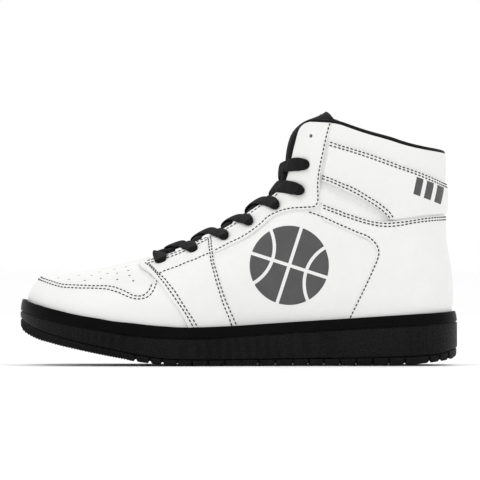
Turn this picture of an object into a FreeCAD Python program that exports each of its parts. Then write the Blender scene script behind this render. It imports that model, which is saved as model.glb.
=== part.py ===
import FreeCAD, Part
import math
import os

# A left basketball high top: leather upper with overlays, padded collar and
# tongue, laces, on a rubber cupsole.  Millimetres.  Toe towards -X, heel
# towards +X, outer (lateral) side towards -Y, inner (medial) side towards +Y,
# +Z up.  The origin is on the ground under the middle of the sole.

V = FreeCAD.Vector
doc = FreeCAD.newDocument("HighTop")

# ---------------------------------------------------------------- sizes
sheet = doc.addObject("Spreadsheet::Sheet", "Sizes")
SIZES = [
    ("sole_length", 300.0, "overall length of the cupsole"),
    ("sole_half_width", 53.8, "half width at the ball, before the curve of the outline"),
    ("lip_thickness", 3.0, "rubber wall of the cup"),
    ("lip_thickness_heel", 1.5, "rubber wall at the back of the heel"),
    ("tread_inset", 0.5, "tread plate stands in from the wall"),
    ("upper_inset", 5.3, "leather stands in from the sole outline"),
    ("tuck", 4.0, "how far the upper goes down inside the cup"),
    ("board", 2.0, "lasting board"),
    ("footbed", 4.5, "removable footbed"),
    ("fit_gap", 0.35, "gap between layers"),
    ("leather", 1.3, "base leather"),
    ("overlay", 1.2, "overlay leather"),
    ("puff", 0.65, "toe stiffener and heel counter"),
    ("lining", 1.1, "textile lining"),
    ("collar_pad", 8.6, "depth of the padded collar from the outside to the lining"),
    ("tongue_shell", 1.1, "tongue outer fabric"),
    ("tongue_foam", 5.0, "tongue padding"),
    ("tongue_lining", 1.0, "tongue lining"),
    ("lace_width", 9.0, "flat lace width"),
    ("lace_thickness", 1.9, "flat lace thickness"),
    ("binding_height", 1.8, "rolled edge on the topline"),
    ("groove_width", 1.2, "tread groove width"),
    ("groove_depth", 1.6, "tread groove depth"),
    ("cut_height", 120.0, "working height of the sole prisms"),
    ("cut_width", 140.0, "working width of the side profiles"),
    ("tongue_half_width", 25.3, "half width of the tongue at the instep"),
    ("tongue_half_width_top", 25.4, "half width of the tongue at its top"),
]
for i, (name, val, note) in enumerate(SIZES, start=1):
    sheet.set("A%d" % i, name)
    sheet.set("B%d" % i, str(val))
    sheet.set("C%d" % i, note)
    sheet.setAlias("B%d" % i, name)
doc.recompute()


def size(name):
    v = sheet.get(name)
    return float(v.Value) if hasattr(v, "Value") else float(v)


K = size("sole_length") / 300.0
GAP = size("fit_gap")

# ---------------------------------------------------------------- curves
# Side-view curves as (x, z), toe to heel.
RIM = [(-149.9, 45.2), (-146.5, 45.0), (-144.4, 44.0), (-143.1, 43.4), (-136.2, 41.3), (-129.3, 39.3), (-122.5, 37.7),
       (-115.6, 36.0), (-108.7, 34.6), (-101.9, 33.4), (-95.0, 32.3), (-88.1, 31.0), (-81.3, 30.1), (-74.4, 29.5),
       (-67.6, 28.7), (-60.7, 27.9), (-53.8, 27.3), (-47.0, 26.8), (-40.1, 26.4), (-33.2, 26.3), (-26.4, 26.4),
       (-12.6, 26.9), (1.1, 27.6), (14.8, 28.5), (42.3, 30.3), (76.6, 32.4), (110.9, 34.6), (138.4, 36.3), (150.5, 37.2)]
TREADTOP = [(-150.6, 33.4), (-143.8, 28.3), (-136.2, 24.5), (-122.5, 20.0), (-108.7, 16.3), (-95.0, 13.2), (-81.3, 10.4),
            (-70.3, 8.2), (-51.8, 5.3), (-26.4, 4.4), (1.1, 4.6), (42.3, 5.1), (76.6, 5.5), (97.2, 5.8), (110.9, 6.3),
            (124.7, 7.0), (138.4, 8.4), (151.0, 12.6)]
BOTTOM = [(-151.0, 29.5), (-149.6, 26.2), (-147.2, 23.1), (-143.1, 20.4), (-136.2, 17.4), (-129.3, 15.5), (-122.5, 13.7),
          (-108.7, 10.6), (-95.0, 7.7), (-81.3, 5.1), (-67.6, 2.9), (-53.8, 1.4), (-40.1, 0.45), (-26.4, 0.0), (97.2, 0.0),
          (110.9, 0.4), (124.7, 1.5), (138.4, 3.2), (146.6, 4.9), (151.0, 8.0)]
# outline of the toe from the side: front of the toe, then the top up to the throat
TOE = [(-143.9, 40.0), (-143.7, 44.5), (-143.3, 47.5), (-142.0, 50.9), (-139.9, 54.3), (-137.9, 56.9), (-136.0, 58.9),
       (-134.2, 60.3), (-132.2, 61.1), (-128.0, 61.5), (-122.5, 61.9), (-115.6, 63.2), (-108.7, 64.3), (-101.9, 65.3),
       (-95.0, 66.3), (-88.1, 67.8), (-81.3, 69.5), (-74.4, 71.1), (-67.6, 72.6), (-61.5, 74.3)]
# centre line of the instep and ankle front, as the upper's outer surface would run
INSTEP = [(-74.4, 71.1), (-67.6, 72.6), (-61.5, 74.3), (-50.4, 77.9), (-40.1, 81.1), (-29.8, 85.8), (-19.5, 90.7), (-9.2, 95.6),
          (1.1, 102.0), (11.4, 109.6), (18.3, 114.4), (23.4, 118.4), (27.3, 122.7), (29.2, 127.0), (30.0, 131.5),
          (30.4, 139.0), (31.3, 147.7), (33.2, 156.0), (35.5, 165.0), (38.0, 175.0), (41.0, 186.0)]
BACK = [(144.3, 27.0), (144.8, 33.0), (145.2, 37.2), (145.9, 41.3), (146.2, 47.5), (146.2, 51.6), (145.8, 58.5), (145.1, 65.4), (144.0, 72.2),
        (142.8, 79.1), (141.9, 84.6), (141.4, 92.8), (141.2, 113.4), (141.3, 137.4), (141.5, 147.7), (142.0, 160.0)]
TOPLINE = [(42.3, 165.0), (48.5, 166.4), (56.0, 166.6), (64.9, 166.0), (69.7, 165.0), (76.6, 162.6), (83.5, 160.2), (90.3, 158.1),
           (97.2, 156.2), (104.1, 154.2), (110.9, 152.0), (117.8, 149.8), (124.7, 147.6), (131.5, 145.8), (138.4, 144.2), (141.5, 143.4)]
TOECAP_TOP = [(-135.2, 59.7), (-132.8, 60.1), (-129.3, 58.9), (-125.9, 57.9), (-122.5, 56.9), (-119.0, 56.2), (-112.2, 55.8), (-105.3, 55.6),
              (-98.4, 55.4), (-91.6, 55.3), (-86.8, 55.0), (-82.7, 54.0), (-78.5, 52.5), (-74.4, 50.7), (-71.7, 49.4),
              (-68.2, 48.9), (-65.5, 49.0), (-62.5, 50.8), (-60.4, 53.4), (-58.6, 56.0), (-57.4, 59.0)]
SADDLE_FRONT = [(-68.2, 68.4), (-66.2, 66.7), (-63.4, 65.0), (-59.3, 61.9), (-55.2, 57.8), (-51.1, 52.7), (-47.0, 46.8),
                (-43.5, 42.0), (-40.1, 37.2), (-37.3, 32.4), (-34.6, 26.2), (-33.2, 22.6)]
SADDLE_REAR = [(-17.6, 89.6), (-17.2, 88.0), (-17.0, 81.8), (-16.5, 76.3), (-15.9, 70.8), (-14.3, 65.4), (-12.4, 58.5),
               (-10.0, 51.6), (-7.6, 44.8), (-5.2, 39.3), (-3.0, 34.5), (0.1, 27.3), (1.6, 23.8)]
# the eyelet stay as pairs: a point on the throat edge and its partner on the outer edge
STAY = [((-16.4, 90.2), (-16.1, 76.4)), ((-11.3, 92.6), (-11.3, 78.4)), ((-3.7, 96.9), (-5.8, 81.3)), ((1.1, 100.0), (-0.3, 83.9)),
        ((5.2, 103.2), (5.2, 86.8)), ((10.7, 107.2), (10.7, 90.5)), ((16.2, 110.9), (16.2, 94.9)), ((20.3, 113.6), (24.4, 101.3)),
        ((24.6, 116.9), (36.0, 105.4)), ((28.5, 120.3), (48.5, 106.4)), ((31.8, 124.4), (54.6, 108.9)), ((33.5, 128.5), (56.2, 113.5)),
        ((34.7, 133.5), (56.4, 120.3)), ((35.8, 138.5), (56.5, 125.8)), ((36.9, 143.0), (57.0, 131.3)), ((38.0, 148.0), (58.1, 137.1)),
        ((39.2, 152.6), (59.2, 142.0)), ((40.2, 156.6), (60.1, 147.4)), ((41.0, 159.6), (61.5, 153.6)), ((41.8, 162.4), (62.9, 159.1)),
        ((42.6, 164.6), (64.3, 164.6))]
SPLIT = [(141.4, 101.8), (134.3, 101.2), (124.0, 100.2), (114.0, 98.6), (104.1, 97.4), (96.0, 97.7), (84.9, 100.4), (76.6, 103.1),
         (68.4, 106.2), (60.1, 109.4), (50.0, 112.6), (40.0, 115.4), (30.5, 118.6), (26.0, 118.2)]
HEEL_TOP = [(141.5, 102.9), (134.3, 102.4), (127.4, 101.7), (120.5, 100.7), (115.1, 99.8), (109.6, 99.1), (104.1, 98.6), (98.6, 98.6),
            (93.8, 99.1), (84.9, 101.4), (76.6, 104.1), (68.4, 107.2), (60.1, 110.3), (57.4, 111.6)]
HEEL_FRONT = [(74.3, 28.3), (76.3, 33.1), (79.4, 39.3), (82.8, 46.1), (86.2, 53.0), (89.7, 60.5), (92.4, 66.7), (94.8, 72.2), (95.8, 76.3),
              (95.5, 79.8), (93.8, 83.2), (91.0, 86.3), (87.6, 88.7), (82.1, 90.8), (76.6, 93.2), (69.7, 96.2), (62.9, 99.3),
              (58.0, 102.0), (56.2, 106.5), (57.4, 111.6)]
ANKLE_LOW = [(141.5, 103.6), (134.3, 103.1), (124.0, 102.0), (115.1, 100.6), (107.0, 99.7), (103.0, 100.1), (101.7, 101.4), (99.3, 104.0), (95.8, 106.8),
             (90.3, 110.2), (83.5, 114.0), (76.6, 117.4), (69.7, 120.7), (62.9, 123.8), (58.2, 125.6)]
ANKLE_TOP = [(141.5, 125.1), (138.4, 126.6), (131.5, 129.7), (124.7, 132.4), (117.8, 134.9), (110.9, 137.2), (104.1, 140.0),
             (97.2, 142.6), (89.0, 145.4), (83.5, 147.2), (76.6, 149.2), (69.7, 151.3), (62.6, 153.9)]
EYELETS = [(-52.4, 71.2), (-30.8, 79.1), (-9.9, 89.0), (6.9, 99.0), (25.1, 109.6), (42.3, 119.6), (46.0, 137.4), (50.0, 156.7)]
GROOVES = [-51.8, -41.3, -31.5, -20.5, -9.2, 2.1, 13.5, 25.1, 37.3, 47.8, 58.4, 69.4, 80.5, 91.7, 102.8, 113.5, 130.4, 137.7]
# sole plan: half width and centre line
HALFW = [(-160, 50.5), (-125, 50.5), (-110, 51.2), (-95, 52.4), (-80, 53.4), (-65, 53.8), (-50, 53.2), (-30, 50.6), (-10, 46.8), (10, 43.4),
         (30, 41.0), (50, 40.0), (70, 40.0), (90, 40.4), (110, 40.8), (130, 41.0), (160, 41.0)]
CENTRE = [(-160, 10.5), (-150, 9.6), (-140, 8.4), (-125, 6.5), (-110, 4.6), (-95, 2.7), (-80, 1.0), (-65, -0.2), (-50, -1.2), (-30, -2.3),
          (-10, -2.9), (10, -3.0), (30, -2.2), (50, -1.0), (70, 0.0), (90, 0.6), (110, 1.0), (160, 1.0)]


def at(table, x):
    """Smooth value of a table of (x, value) rows."""
    n = len(table)
    if x <= table[0][0]:
        return table[0][1]
    if x >= table[-1][0]:
        return table[-1][1]
    lo, hi = 0, n - 1
    while hi - lo > 1:
        m = (lo + hi) // 2
        if table[m][0] <= x:
            lo = m
        else:
            hi = m
    x0, y0 = table[lo]
    x1, y1 = table[hi]
    dx = x1 - x0
    s0 = (y1 - y0) / dx
    sa = (y0 - table[lo - 1][1]) / (x0 - table[lo - 1][0]) if lo > 0 else s0
    sb = (table[hi + 1][1] - y1) / (table[hi + 1][0] - x1) if hi < n - 1 else s0
    m0 = 0.5 * (sa + s0)
    m1 = 0.5 * (sb + s0)
    t = (x - x0) / dx
    return ((2 * t ** 3 - 3 * t ** 2 + 1) * y0 + (t ** 3 - 2 * t ** 2 + t) * dx * m0
            + (-2 * t ** 3 + 3 * t ** 2) * y1 + (t ** 3 - t ** 2) * dx * m1)


class Curve:
    """A smooth side-view curve through points, by arc length from 0 to 1."""

    def __init__(self, pts):
        self.p = pts
        d = [0.0]
        for a, b in zip(pts, pts[1:]):
            d.append(d[-1] + math.hypot(b[0] - a[0], b[1] - a[1]))
        self.length = d[-1]
        self.tx = [(u / d[-1], p[0]) for u, p in zip(d, pts)]
        self.tz = [(u / d[-1], p[1]) for u, p in zip(d, pts)]

    def __call__(self, t):
        return at(self.tx, t), at(self.tz, t)

    def part(self, a, b, n=24):
        return Curve([self(a + (b - a) * i / (n - 1.0)) for i in range(n)])

    def back(self):
        return Curve(self.p[::-1])


def coons(c0, c1, d0, d1):
    """Patch between c0(u) at v=0, c1(u) at v=1, d0(v) at u=0 and d1(v) at u=1."""
    p00, p10, p01, p11 = c0(0), c0(1), c1(0), c1(1)

    def f(u, v):
        a, b, c, d = c0(u), c1(u), d0(v), d1(v)
        out = []
        for k in (0, 1):
            out.append((1 - v) * a[k] + v * b[k] + (1 - u) * c[k] + u * d[k]
                       - ((1 - u) * (1 - v) * p00[k] + u * (1 - v) * p10[k] + (1 - u) * v * p01[k] + u * v * p11[k]))
        return out[0], out[1]
    return f


def ladder(pairs):
    """Patch across matched pairs of points; u along, v from the first to the second."""
    n = len(pairs) - 1.0
    t = [[(i / n, pr[j][k]) for i, pr in enumerate(pairs)] for j in (0, 1) for k in (0, 1)]

    def f(u, v):
        ax, az, bx, bz = [at(tab, u) for tab in t]
        return ax + (bx - ax) * v, az + (bz - az) * v
    return f


# ---------------------------------------------------------------- the upper's surface
TOE_X = sorted([(p[0], p[1]) for p in TOE if p[1] > 44.0])
BACK_Z = [(z, x) for x, z in BACK]
R_TOE, R_HEEL = 47.0, 38.0
X_TOE = -143.9
INSET = size("upper_inset")
ridge = Curve(INSTEP)
RN = 90
RID = [ridge(i / float(RN)) for i in range(RN + 1)]
R_ROUND = [(0.0, 47.0), (0.25, 46.0), (0.5, 44.0), (0.62, 40.0), (0.7, 36.0), (1.0, 34.0)]


def rim_z(x):
    return at(RIM, x)


def tuck_z(x):
    return at(RIM, x) - size("tuck")


def cy(x):
    return at(CENTRE, x)


def spread(x, z, side):
    """Half width of the upper at full depth, below the curve of the instep."""
    base = at(HALFW, x) - INSET + (1.6 if x > 60 else 1.6 * smooth((x - 0) / 60.0))
    h = z - rim_z(x)
    if x < -60:
        return base
    f = smooth((x + 60) / 80.0)
    # the ankle: in at the waist of the ankle, out again at the padded collar
    ank = at([(-10, -1.4), (0, -1.25), (12, -0.8), (35, -1.6), (55, -2.8), (70, -2.6), (90, -0.6), (105, 1.0), (120, 1.4), (140, 0.8)], h)
    if side > 0:
        ank -= 3.0 * math.exp(-((x - 15) / 45.0) ** 2) * math.exp(-((h - 5) / 30.0) ** 2)
    return base + f * ank


def smooth(t):
    t = max(0.0, min(1.0, t))
    return t * t * (3 - 2 * t)


def near_ridge(x, z):
    best, bi, bt = 1e9, 0, 0.0
    lo, hi = 0, RN
    if x < 0:
        hi = int(RN * 0.72)
    if z > 130:
        lo = int(RN * 0.45)
    for i in range(lo, hi):
        ax, az = RID[i]
        bx, bz = RID[i + 1]
        ux, uz = bx - ax, bz - az
        t = ((x - ax) * ux + (z - az) * uz) / (ux * ux + uz * uz)
        t = 0.0 if t < 0 else (1.0 if t > 1 else t)
        qx, qz = ax + ux * t - x, az + uz * t - z
        d = qx * qx + qz * qz
        if d < best:
            best, bi, bt = d, i, t
            sg = ux * (-qz) - uz * (-qx)
    return math.sqrt(best) * (1.0 if sg <= 0 else -1.0), (bi + bt) / RN


def half(x, z, side):
    """Half width of the base leather's outside at a side-view point."""
    e = 1.0
    tt = 1.0 - (x - X_TOE) / R_TOE
    if tt > 0:
        e *= math.sqrt(max(0.0, 1.0 - min(1.0, tt) ** 2.2))
    tb = 1.0 - (at(BACK_Z, z) - x) / R_HEEL
    if tb > 0:
        e *= math.sqrt(max(0.0, 1.0 - min(1.0, tb) ** 2.3))
    g1 = g2 = 1.0
    if x < -50:
        zt = at(TOE_X, x)
        zf = rim_z(x) - 6.0
        t1 = 1.0 - (zt - z) / max(1.0, zt - zf)
        g1 = math.sqrt(max(0.0, 1.0 - min(1.0, max(0.0, t1)) ** 2.5))
    if x > -66:
        d, s = near_ridge(x, z)
        t2 = 1.0 - d / at(R_ROUND, s)
        g2 = math.sqrt(max(0.0, 1.0 - min(1.0, max(0.0, t2)) ** 2.4))
    w = smooth((x + 66) / 16.0)
    return spread(x, z, side) * e * (g1 * (1 - w) + g2 * w)


def skin(x, z, side):
    return V(x, cy(x) + side * half(x, z, side), z)


# ---------------------------------------------------------------- solids from grids
def knots(n, deg):
    k = n - deg
    return [i / float(k) for i in range(k + 1)], [deg + 1] + [1] * (k - 1) + [deg + 1]


def surf(g):
    nu, nv = len(g), len(g[0])
    du, dv = min(3, nu - 1), min(3, nv - 1)
    ku, mu = knots(nu, du)
    kv, mv = knots(nv, dv)
    s = Part.BSplineSurface()
    s.buildFromPolesMultsKnots(g, mu, mv, ku, kv, False, False, du, dv)
    return s.toShape()


def solid_between(a, b):
    faces = [surf(a), surf(b), surf([a[0], b[0]]), surf([a[-1], b[-1]]),
             surf([[r[0] for r in a], [r[0] for r in b]]), surf([[r[-1] for r in a], [r[-1] for r in b]])]
    sh = Part.makeShell(faces)
    sh.sewShape()
    so = Part.makeSolid(sh)
    if so.Volume < 0:
        so.reverse()
    return so


def offset_grid(P, us, vs, off, ref, eps=0.004):
    """Grid of P(u, v) moved outward by off(x, z)."""
    u_lo, u_hi, v_lo, v_hi = us[0], us[-1], vs[0], vs[-1]
    um, vm = us[len(us) // 2], vs[(len(vs) * 3) // 4]

    def normal(u, v):
        ua, ub = max(u_lo, u - eps), min(u_hi, u + eps)
        va, vb = max(v_lo, v - eps), min(v_hi, v + eps)
        n = (P(ub, v) - P(ua, v)).cross(P(u, vb) - P(u, va))
        if n.Length > 1e-12:
            n.normalize()
        return n
    c = P(um, vm)
    sg = 1.0 if normal(um, vm).dot(c - ref) > 0 else -1.0
    g = []
    for u in us:
        row = []
        for v in vs:
            p = P(u, v)
            row.append(p + normal(u, v) * (sg * off(p.x, p.z)))
        g.append(row)
    return g


def lin(a, b, n):
    return [a + (b - a) * i / (n - 1.0) for i in range(n)]


def const(c):
    return lambda x, z: c


def wrap(f, out, inn, nu, nv, ref, full=1.0, w0=0.0, side=0):
    """A piece that runs round the front or the back of the shoe.
    f(t, s): side-view patch, t=0 on the centre line.  side 0 is both sides."""
    def P(s, w):
        sd = -1 if (w < 0 if side == 0 else side < 0) else 1
        t = (1 - math.cos(abs(w) * math.pi / 2)) * full
        x, z = f(t, s)
        if ref.x > 0:
            x0, z0 = f(0.0, s)
            xc, _ = f(1.0, s)
            x += (at(BACK_Z, z0) - x0) * (1 - t) ** 4
            x = min(x, at(BACK_Z, z) - (x0 - xc) * t * 0.4)
        return skin(x, z, sd)
    us = lin(0, 1, nu)
    vs = lin(-1, 1, nv) if side == 0 else lin(w0, 1, nv)
    out = out if callable(out) else const(out)
    inn = inn if callable(inn) else const(inn)
    return solid_between(offset_grid(P, us, vs, out, ref), offset_grid(P, us, vs, inn, ref))


def flank(f, side, out, inn, nu, nv):
    """A piece on one flank of the shoe."""
    def P(u, v):
        x, z = f(u, v)
        return skin(x, z, side)
    us, vs = lin(0, 1, nu), lin(0, 1, nv)
    out = out if callable(out) else const(out)
    inn = inn if callable(inn) else const(inn)
    c = P(0.5, 0.5)
    ref = V(c.x, cy(c.x), c.z - 5)
    return solid_between(offset_grid(P, us, vs, out, ref), offset_grid(P, us, vs, inn, ref))


# ---------------------------------------------------------------- the sole
def outline(inset, inset_toe=None, inset_heel=None, n=26, waist=0.0):
    """Plan of the sole, moved in by inset at the sides, toe and heel."""
    it = inset if inset_toe is None else inset_toe
    ih = inset if inset_heel is None else inset_heel
    xt, xh = -149.8 + it, 150.2 - ih
    rt, rh = 52.0 - it, 42.0 - ih
    xs = []
    for i in range(n + 1):
        a = math.pi * i / n
        xs.append(0.5 * (xt + xh) - 0.5 * (xh - xt) * math.cos(a))

    def hw(x):
        ins = inset + (ih - inset) * smooth((x - 95) / 45.0)
        w = at(HALFW, x) - ins
        tt = 1 - (x - xt) / rt
        tb = 1 - (xh - x) / rh
        if tt > 0:
            w *= math.sqrt(max(0.0, 1 - min(1.0, tt) ** 2.2))
        if tb > 0:
            w *= math.sqrt(max(0.0, 1 - min(1.0, tb) ** 2.3))
        return w
    a = [V(x, cy(x) - hw(x), 0) for x in xs]
    b = [V(x, cy(x) + hw(x) - waist * math.exp(-((x - 15) / 45.0) ** 2), 0) for x in xs[1:-1]]
    return [p * K for p in a + b[::-1]]


def plane_of(body, role):
    for f in body.Origin.OriginFeatures:
        if f.Role == role:
            return f


def closed_spline(pts):
    c = Part.BSplineCurve()
    c.interpolate(pts, PeriodicFlag=True)
    return c


def prism(name, loops):
    """Upright prism of one or two closed plan curves."""
    body = doc.addObject("PartDesign::Body", name)
    sk = body.newObject("Sketcher::SketchObject", name + "_plan")
    sk.AttachmentSupport = (plane_of(body, "XY_Plane"), [""])
    sk.MapMode = "FlatFace"
    for pts in loops:
        sk.addGeometry(closed_spline(pts), False)
    doc.recompute()
    pad = body.newObject("PartDesign::Pad", name + "_pad")
    pad.Profile = sk
    pad.setExpression("Length", "Sizes.cut_height")
    doc.recompute()
    return body


def band(name, low, high):
    """Side profile between two side-view curves, across the whole width."""
    body = doc.addObject("PartDesign::Body", name)
    sk = body.newObject("Sketcher::SketchObject", name + "_side")
    sk.AttachmentSupport = (plane_of(body, "XZ_Plane"), [""])
    sk.MapMode = "FlatFace"
    xs = lin(low[0][0], low[-1][0], 64)
    lo = [V(x * K, at(low, x) * K, 0) for x in xs]
    hi = [V(x * K, at(high, x) * K, 0) for x in xs]
    c1 = Part.BSplineCurve()
    c1.interpolate(lo)
    c2 = Part.BSplineCurve()
    c2.interpolate(hi)
    sk.addGeometry(c1, False)
    sk.addGeometry(c2, False)
    sk.addGeometry(Part.LineSegment(lo[0], hi[0]), False)
    sk.addGeometry(Part.LineSegment(lo[-1], hi[-1]), False)
    doc.recompute()
    pad = body.newObject("PartDesign::Pad", name + "_pad")
    pad.Profile = sk
    pad.setExpression("Length", "Sizes.cut_width")
    pad.Midplane = True
    doc.recompute()
    return body


def table_curve(fn, x0, x1, n):
    return [(x, fn(x)) for x in lin(x0, x1, n)]


NODES = []


def keep(obj, label):
    obj.Label = label
    NODES.append(obj)
    return obj


def common(label, a, b):
    o = doc.addObject("Part::Common", label)
    o.Base, o.Tool = a, b
    doc.recompute()
    return o


XA, XB = -158.0, 158.0
tread_low = [(-158.0, 40.0), (-153.5, 33.0)] + BOTTOM[1:-1] + [(152.0, 9.0), (158.0, 16.0)]
tread_high = [(-158.0, 43.0), (-153.0, 37.0)] + [(x, z - 0.2) for x, z in TREADTOP[1:-1]] + [(152.0, 14.0), (158.0, 21.0)]
wall_low = [(-158.0, 43.2), (-153.0, 37.2)] + TREADTOP[1:-1] + [(152.0, 14.2), (158.0, 21.2)]
wall_high = [(-158.0, 45.3), (-152.0, 45.3)] + RIM[1:-1] + [(152.0, 37.4), (158.0, 37.6)]

lip = size("lip_thickness")
liph = size("lip_thickness_heel")
tread_prism = prism("tread_block", [outline(size("tread_inset"))])
tread_band = band("tread_side", tread_low, tread_high)
tread_plate = common("tread_plate", tread_prism, tread_band)
bars = []
for i, gx in enumerate(GROOVES):
    b = doc.addObject("Part::Box", "groove_%02d" % (i + 1))
    b.setExpression("Length", "Sizes.groove_width")
    b.setExpression("Width", "Sizes.cut_width")
    b.Height = 9.0
    zb = at(BOTTOM, gx)
    b.Placement = FreeCAD.Placement(V((gx - 0.6) * K, -70 * K, (zb - 9.0) * K + size("groove_depth")), FreeCAD.Rotation())
    bars.append(b)
grooves = doc.addObject("Part::MultiFuse", "grooves")
grooves.Shapes = bars
doc.recompute()
tread = doc.addObject("Part::Cut", "outsole_tread")
tread.Base, tread.Tool = tread_plate, grooves
keep(tread, "outsole_tread")

wall_prism = prism("wall_ring", [outline(0.0), outline(lip, lip, liph)])
wall_band = band("wall_side", wall_low, wall_high)
keep(common("cupsole_wall", wall_prism, wall_band), "cupsole_wall")

core_prism = prism("core_block", [outline(lip + 0.4, lip + 0.4, liph + 0.4)])
core_low = [(x, at(TREADTOP, x) + 0.25) for x in lin(XA + 6, XB - 6, 40)]
core_high = [(x, tuck_z(x) - 0.5) for x in lin(XA + 6, XB - 6, 40)]
core_band = band("core_side", core_low, core_high)
keep(common("midsole_core", core_prism, core_band), "midsole_core")

ins = INSET + 6.4
bd = size("board")
board_prism = prism("board_block", [outline(ins, ins + 0.4, ins - 1.6, waist=3.2)])
board_band = band("board_side", [(x, tuck_z(x) - 0.25) for x in lin(XA + 8, XB - 8, 40)],
                  [(x, tuck_z(x) - 0.25 + bd) for x in lin(XA + 8, XB - 8, 40)])
keep(common("lasting_board", board_prism, board_band), "lasting_board")

fb = size("footbed")
foot_prism = prism("footbed_block", [outline(ins + 0.3, ins + 0.7, ins - 1.3, waist=3.2)])
foot_band = band("footbed_side", [(x, tuck_z(x) - 0.25 + bd + 0.2) for x in lin(XA + 8, XB - 8, 40)],
                 [(x, tuck_z(x) - 0.25 + bd + 0.2 + fb) for x in lin(XA + 8, XB - 8, 40)])
keep(common("footbed", foot_prism, foot_band), "footbed")

# ---------------------------------------------------------------- the upper
LE, OV, LI, PU = size("leather"), size("overlay"), size("lining"), size("puff")
o_puff = -(LE + GAP + 0.5)
o_line = -(LE + 2 * GAP + PU + 0.5)
REF_TOE = V(-95, 3, 38)
REF_HEEL = V(95, 0, 70)


def feature(label, shape):
    o = doc.addObject("Part::Feature", label)
    if K != 1.0:
        m = FreeCAD.Matrix()
        m.scale(K, K, K)
        shape = shape.transformGeometry(m)
    o.Shape = shape
    o.Placement = FreeCAD.Placement()
    return keep(o, label)


def low_line(x0, x1, dz=0.0, n=24):
    return Curve([(x, tuck_z(x) + dz) for x in lin(x0, x1, n)])


def toe_line(z0, x1):
    """Centre line of the toe from height z0 on the front to x1 on the top."""
    pts = [p for p in TOE if p[1] > z0 + 0.4 and p[0] < x1 - 0.6]
    x0 = at([(p[1], p[0]) for p in TOE[:9]], z0)
    return Curve([(x0, z0)] + pts + [(x1, at(TOE_X, x1))])


def back_line(z0, z1, n=14):
    return Curve([(at(BACK_Z, z), z) for z in lin(z0, z1, n)])


z_nose = 41.2
# vamp and toe box, one piece of leather round the toe
VAMP_REAR = [(-61.5, 74.3), (-57.5, 69.0), (-52.0, 62.0), (-45.0, 52.5), (-38.5, 42.5), (-33.0, 33.0), (-28.5, 25.0), (-27.0, 22.5)]
front_low = Curve([(toe_line(z_nose, -100)(0)[0], z_nose)] + [(x, tuck_z(x)) for x in lin(-141.0, -104.0, 14)])
side_low = Curve([(x, tuck_z(x)) for x in lin(-104.0, -27.0, 20)])


def toe_patch(x_top, rear, x_low):
    fl = Curve([(-143.6, z_nose)] + [(x, tuck_z(x)) for x in lin(-140.5, -104.0, 14)])
    sl = Curve([(x, tuck_z(x)) for x in lin(-104.0, x_low, 20)])
    rg = toe_line(z_nose, x_top)
    rg = Curve([(-143.6, z_nose)] + rg.p[1:])
    return coons(fl, rear, rg, sl)


def wrap_toe(patch, out, inn, nu, nv):
    return wrap(patch, out, inn, nu, nv, REF_TOE)


vamp = toe_patch(-61.5, Curve(VAMP_REAR), -27.0)
feature("vamp_toe_box", wrap_toe(vamp, 0.0, -LE, 46, 51))
feature("vamp_lining", wrap_toe(vamp, o_line, o_line - LI, 30, 37))
puff_rear = Curve([(-103.0, at(TOE_X, -103.0)), (-100.0, 58.0), (-97.0, 48.0), (-95.0, 38.0), (-94.5, tuck_z(-94.5))])
fl2 = Curve([(-143.6, z_nose)] + [(x, tuck_z(x)) for x in lin(-140.5, -116.0, 12)])
sl2 = Curve([(x, tuck_z(x)) for x in lin(-116.0, -94.5, 8)])
rg2 = toe_line(z_nose, -103.0)
puff = coons(fl2, puff_rear, Curve([(-143.6, z_nose)] + rg2.p[1:]), sl2)
feature("toe_puff", wrap_toe(puff, o_puff, o_puff - PU, 28, 41))

# toe cap: the band of leather round the front, over the vamp
cap_front = toe_line(z_nose, -135.2)
cap_rear = Curve([(-33.9, tuck_z(-33.9)), (-38.6, 33.0), (-43.0, 39.8), (-47.8, 46.6), (-51.9, 52.4), (-55.6, 57.0), (-57.4, 59.0)])
cap_low = Curve([(-143.6, z_nose)] + [(x, tuck_z(x)) for x in lin(-140.5, -33.9, 28)])
cap = coons(Curve([(-143.6, z_nose)] + cap_front.p[1:-1] + [(-135.2, 59.7)]), cap_rear, cap_low, Curve(TOECAP_TOP))
feature("toe_cap", wrap(lambda t, s: cap(s, t), OV + GAP, GAP, 12, 61, REF_TOE))

# quarters, the flanks of the upper from the vamp to the back of the heel
throat_pts = [(-57.0, 72.6), (-49.7, 74.6), (-40.1, 78.4), (-31.2, 82.9), (-22.2, 87.4), (-11.3, 92.6), (-3.7, 96.9), (4.5, 102.8),
              (14.8, 110.0), (21.5, 114.5), (26.0, 118.2)]
quarter_front = Curve([(-26.4, tuck_z(-26.4)), (-27.9, 25.2), (-32.4, 33.2), (-37.9, 42.7), (-44.4, 52.8), (-51.3, 62.3), (-56.2, 68.4)] + throat_pts[1:])
quarter = coons(back_line(tuck_z(144), 101.8), quarter_front, low_line(144.6, -26.4), Curve(SPLIT))
for lab, sd in (("quarter_lateral", -1), ("quarter_medial", 1)):
    feature(lab, wrap(lambda t, s: quarter(s, t), 0.0, -LE, 26, 44, REF_HEEL, w0=0.012, side=sd))

# upper ankle part of the quarters, padded, round the back of the ankle
ankle_front = Curve([(27.0, 119.2), (29.6, 121.6), (32.0, 125.0), (33.7, 129.5), (34.9, 134.5), (36.0, 139.5), (37.4, 146.0), (39.0, 152.5), (40.6, 158.5), (42.3, 164.6)])
split_up = Curve([(x, z + 0.5) for x, z in SPLIT[:-1]] + [(27.0, 119.2)])
ankle = coons(back_line(102.3, 143.4), ankle_front, split_up, Curve(TOPLINE).back())
feature("ankle_collar", wrap(lambda t, s: ankle(s, t), 0.0, -LE, 16, 61, REF_HEEL))


def pad_depth(x, z):
    """Depth of the padding under the collar: full behind the eyelets, none below the ankle."""
    return smooth((x - 50) / 18.0) * smooth((z - 92 + 0.1 * (x - 60)) / 26.0)


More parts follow.
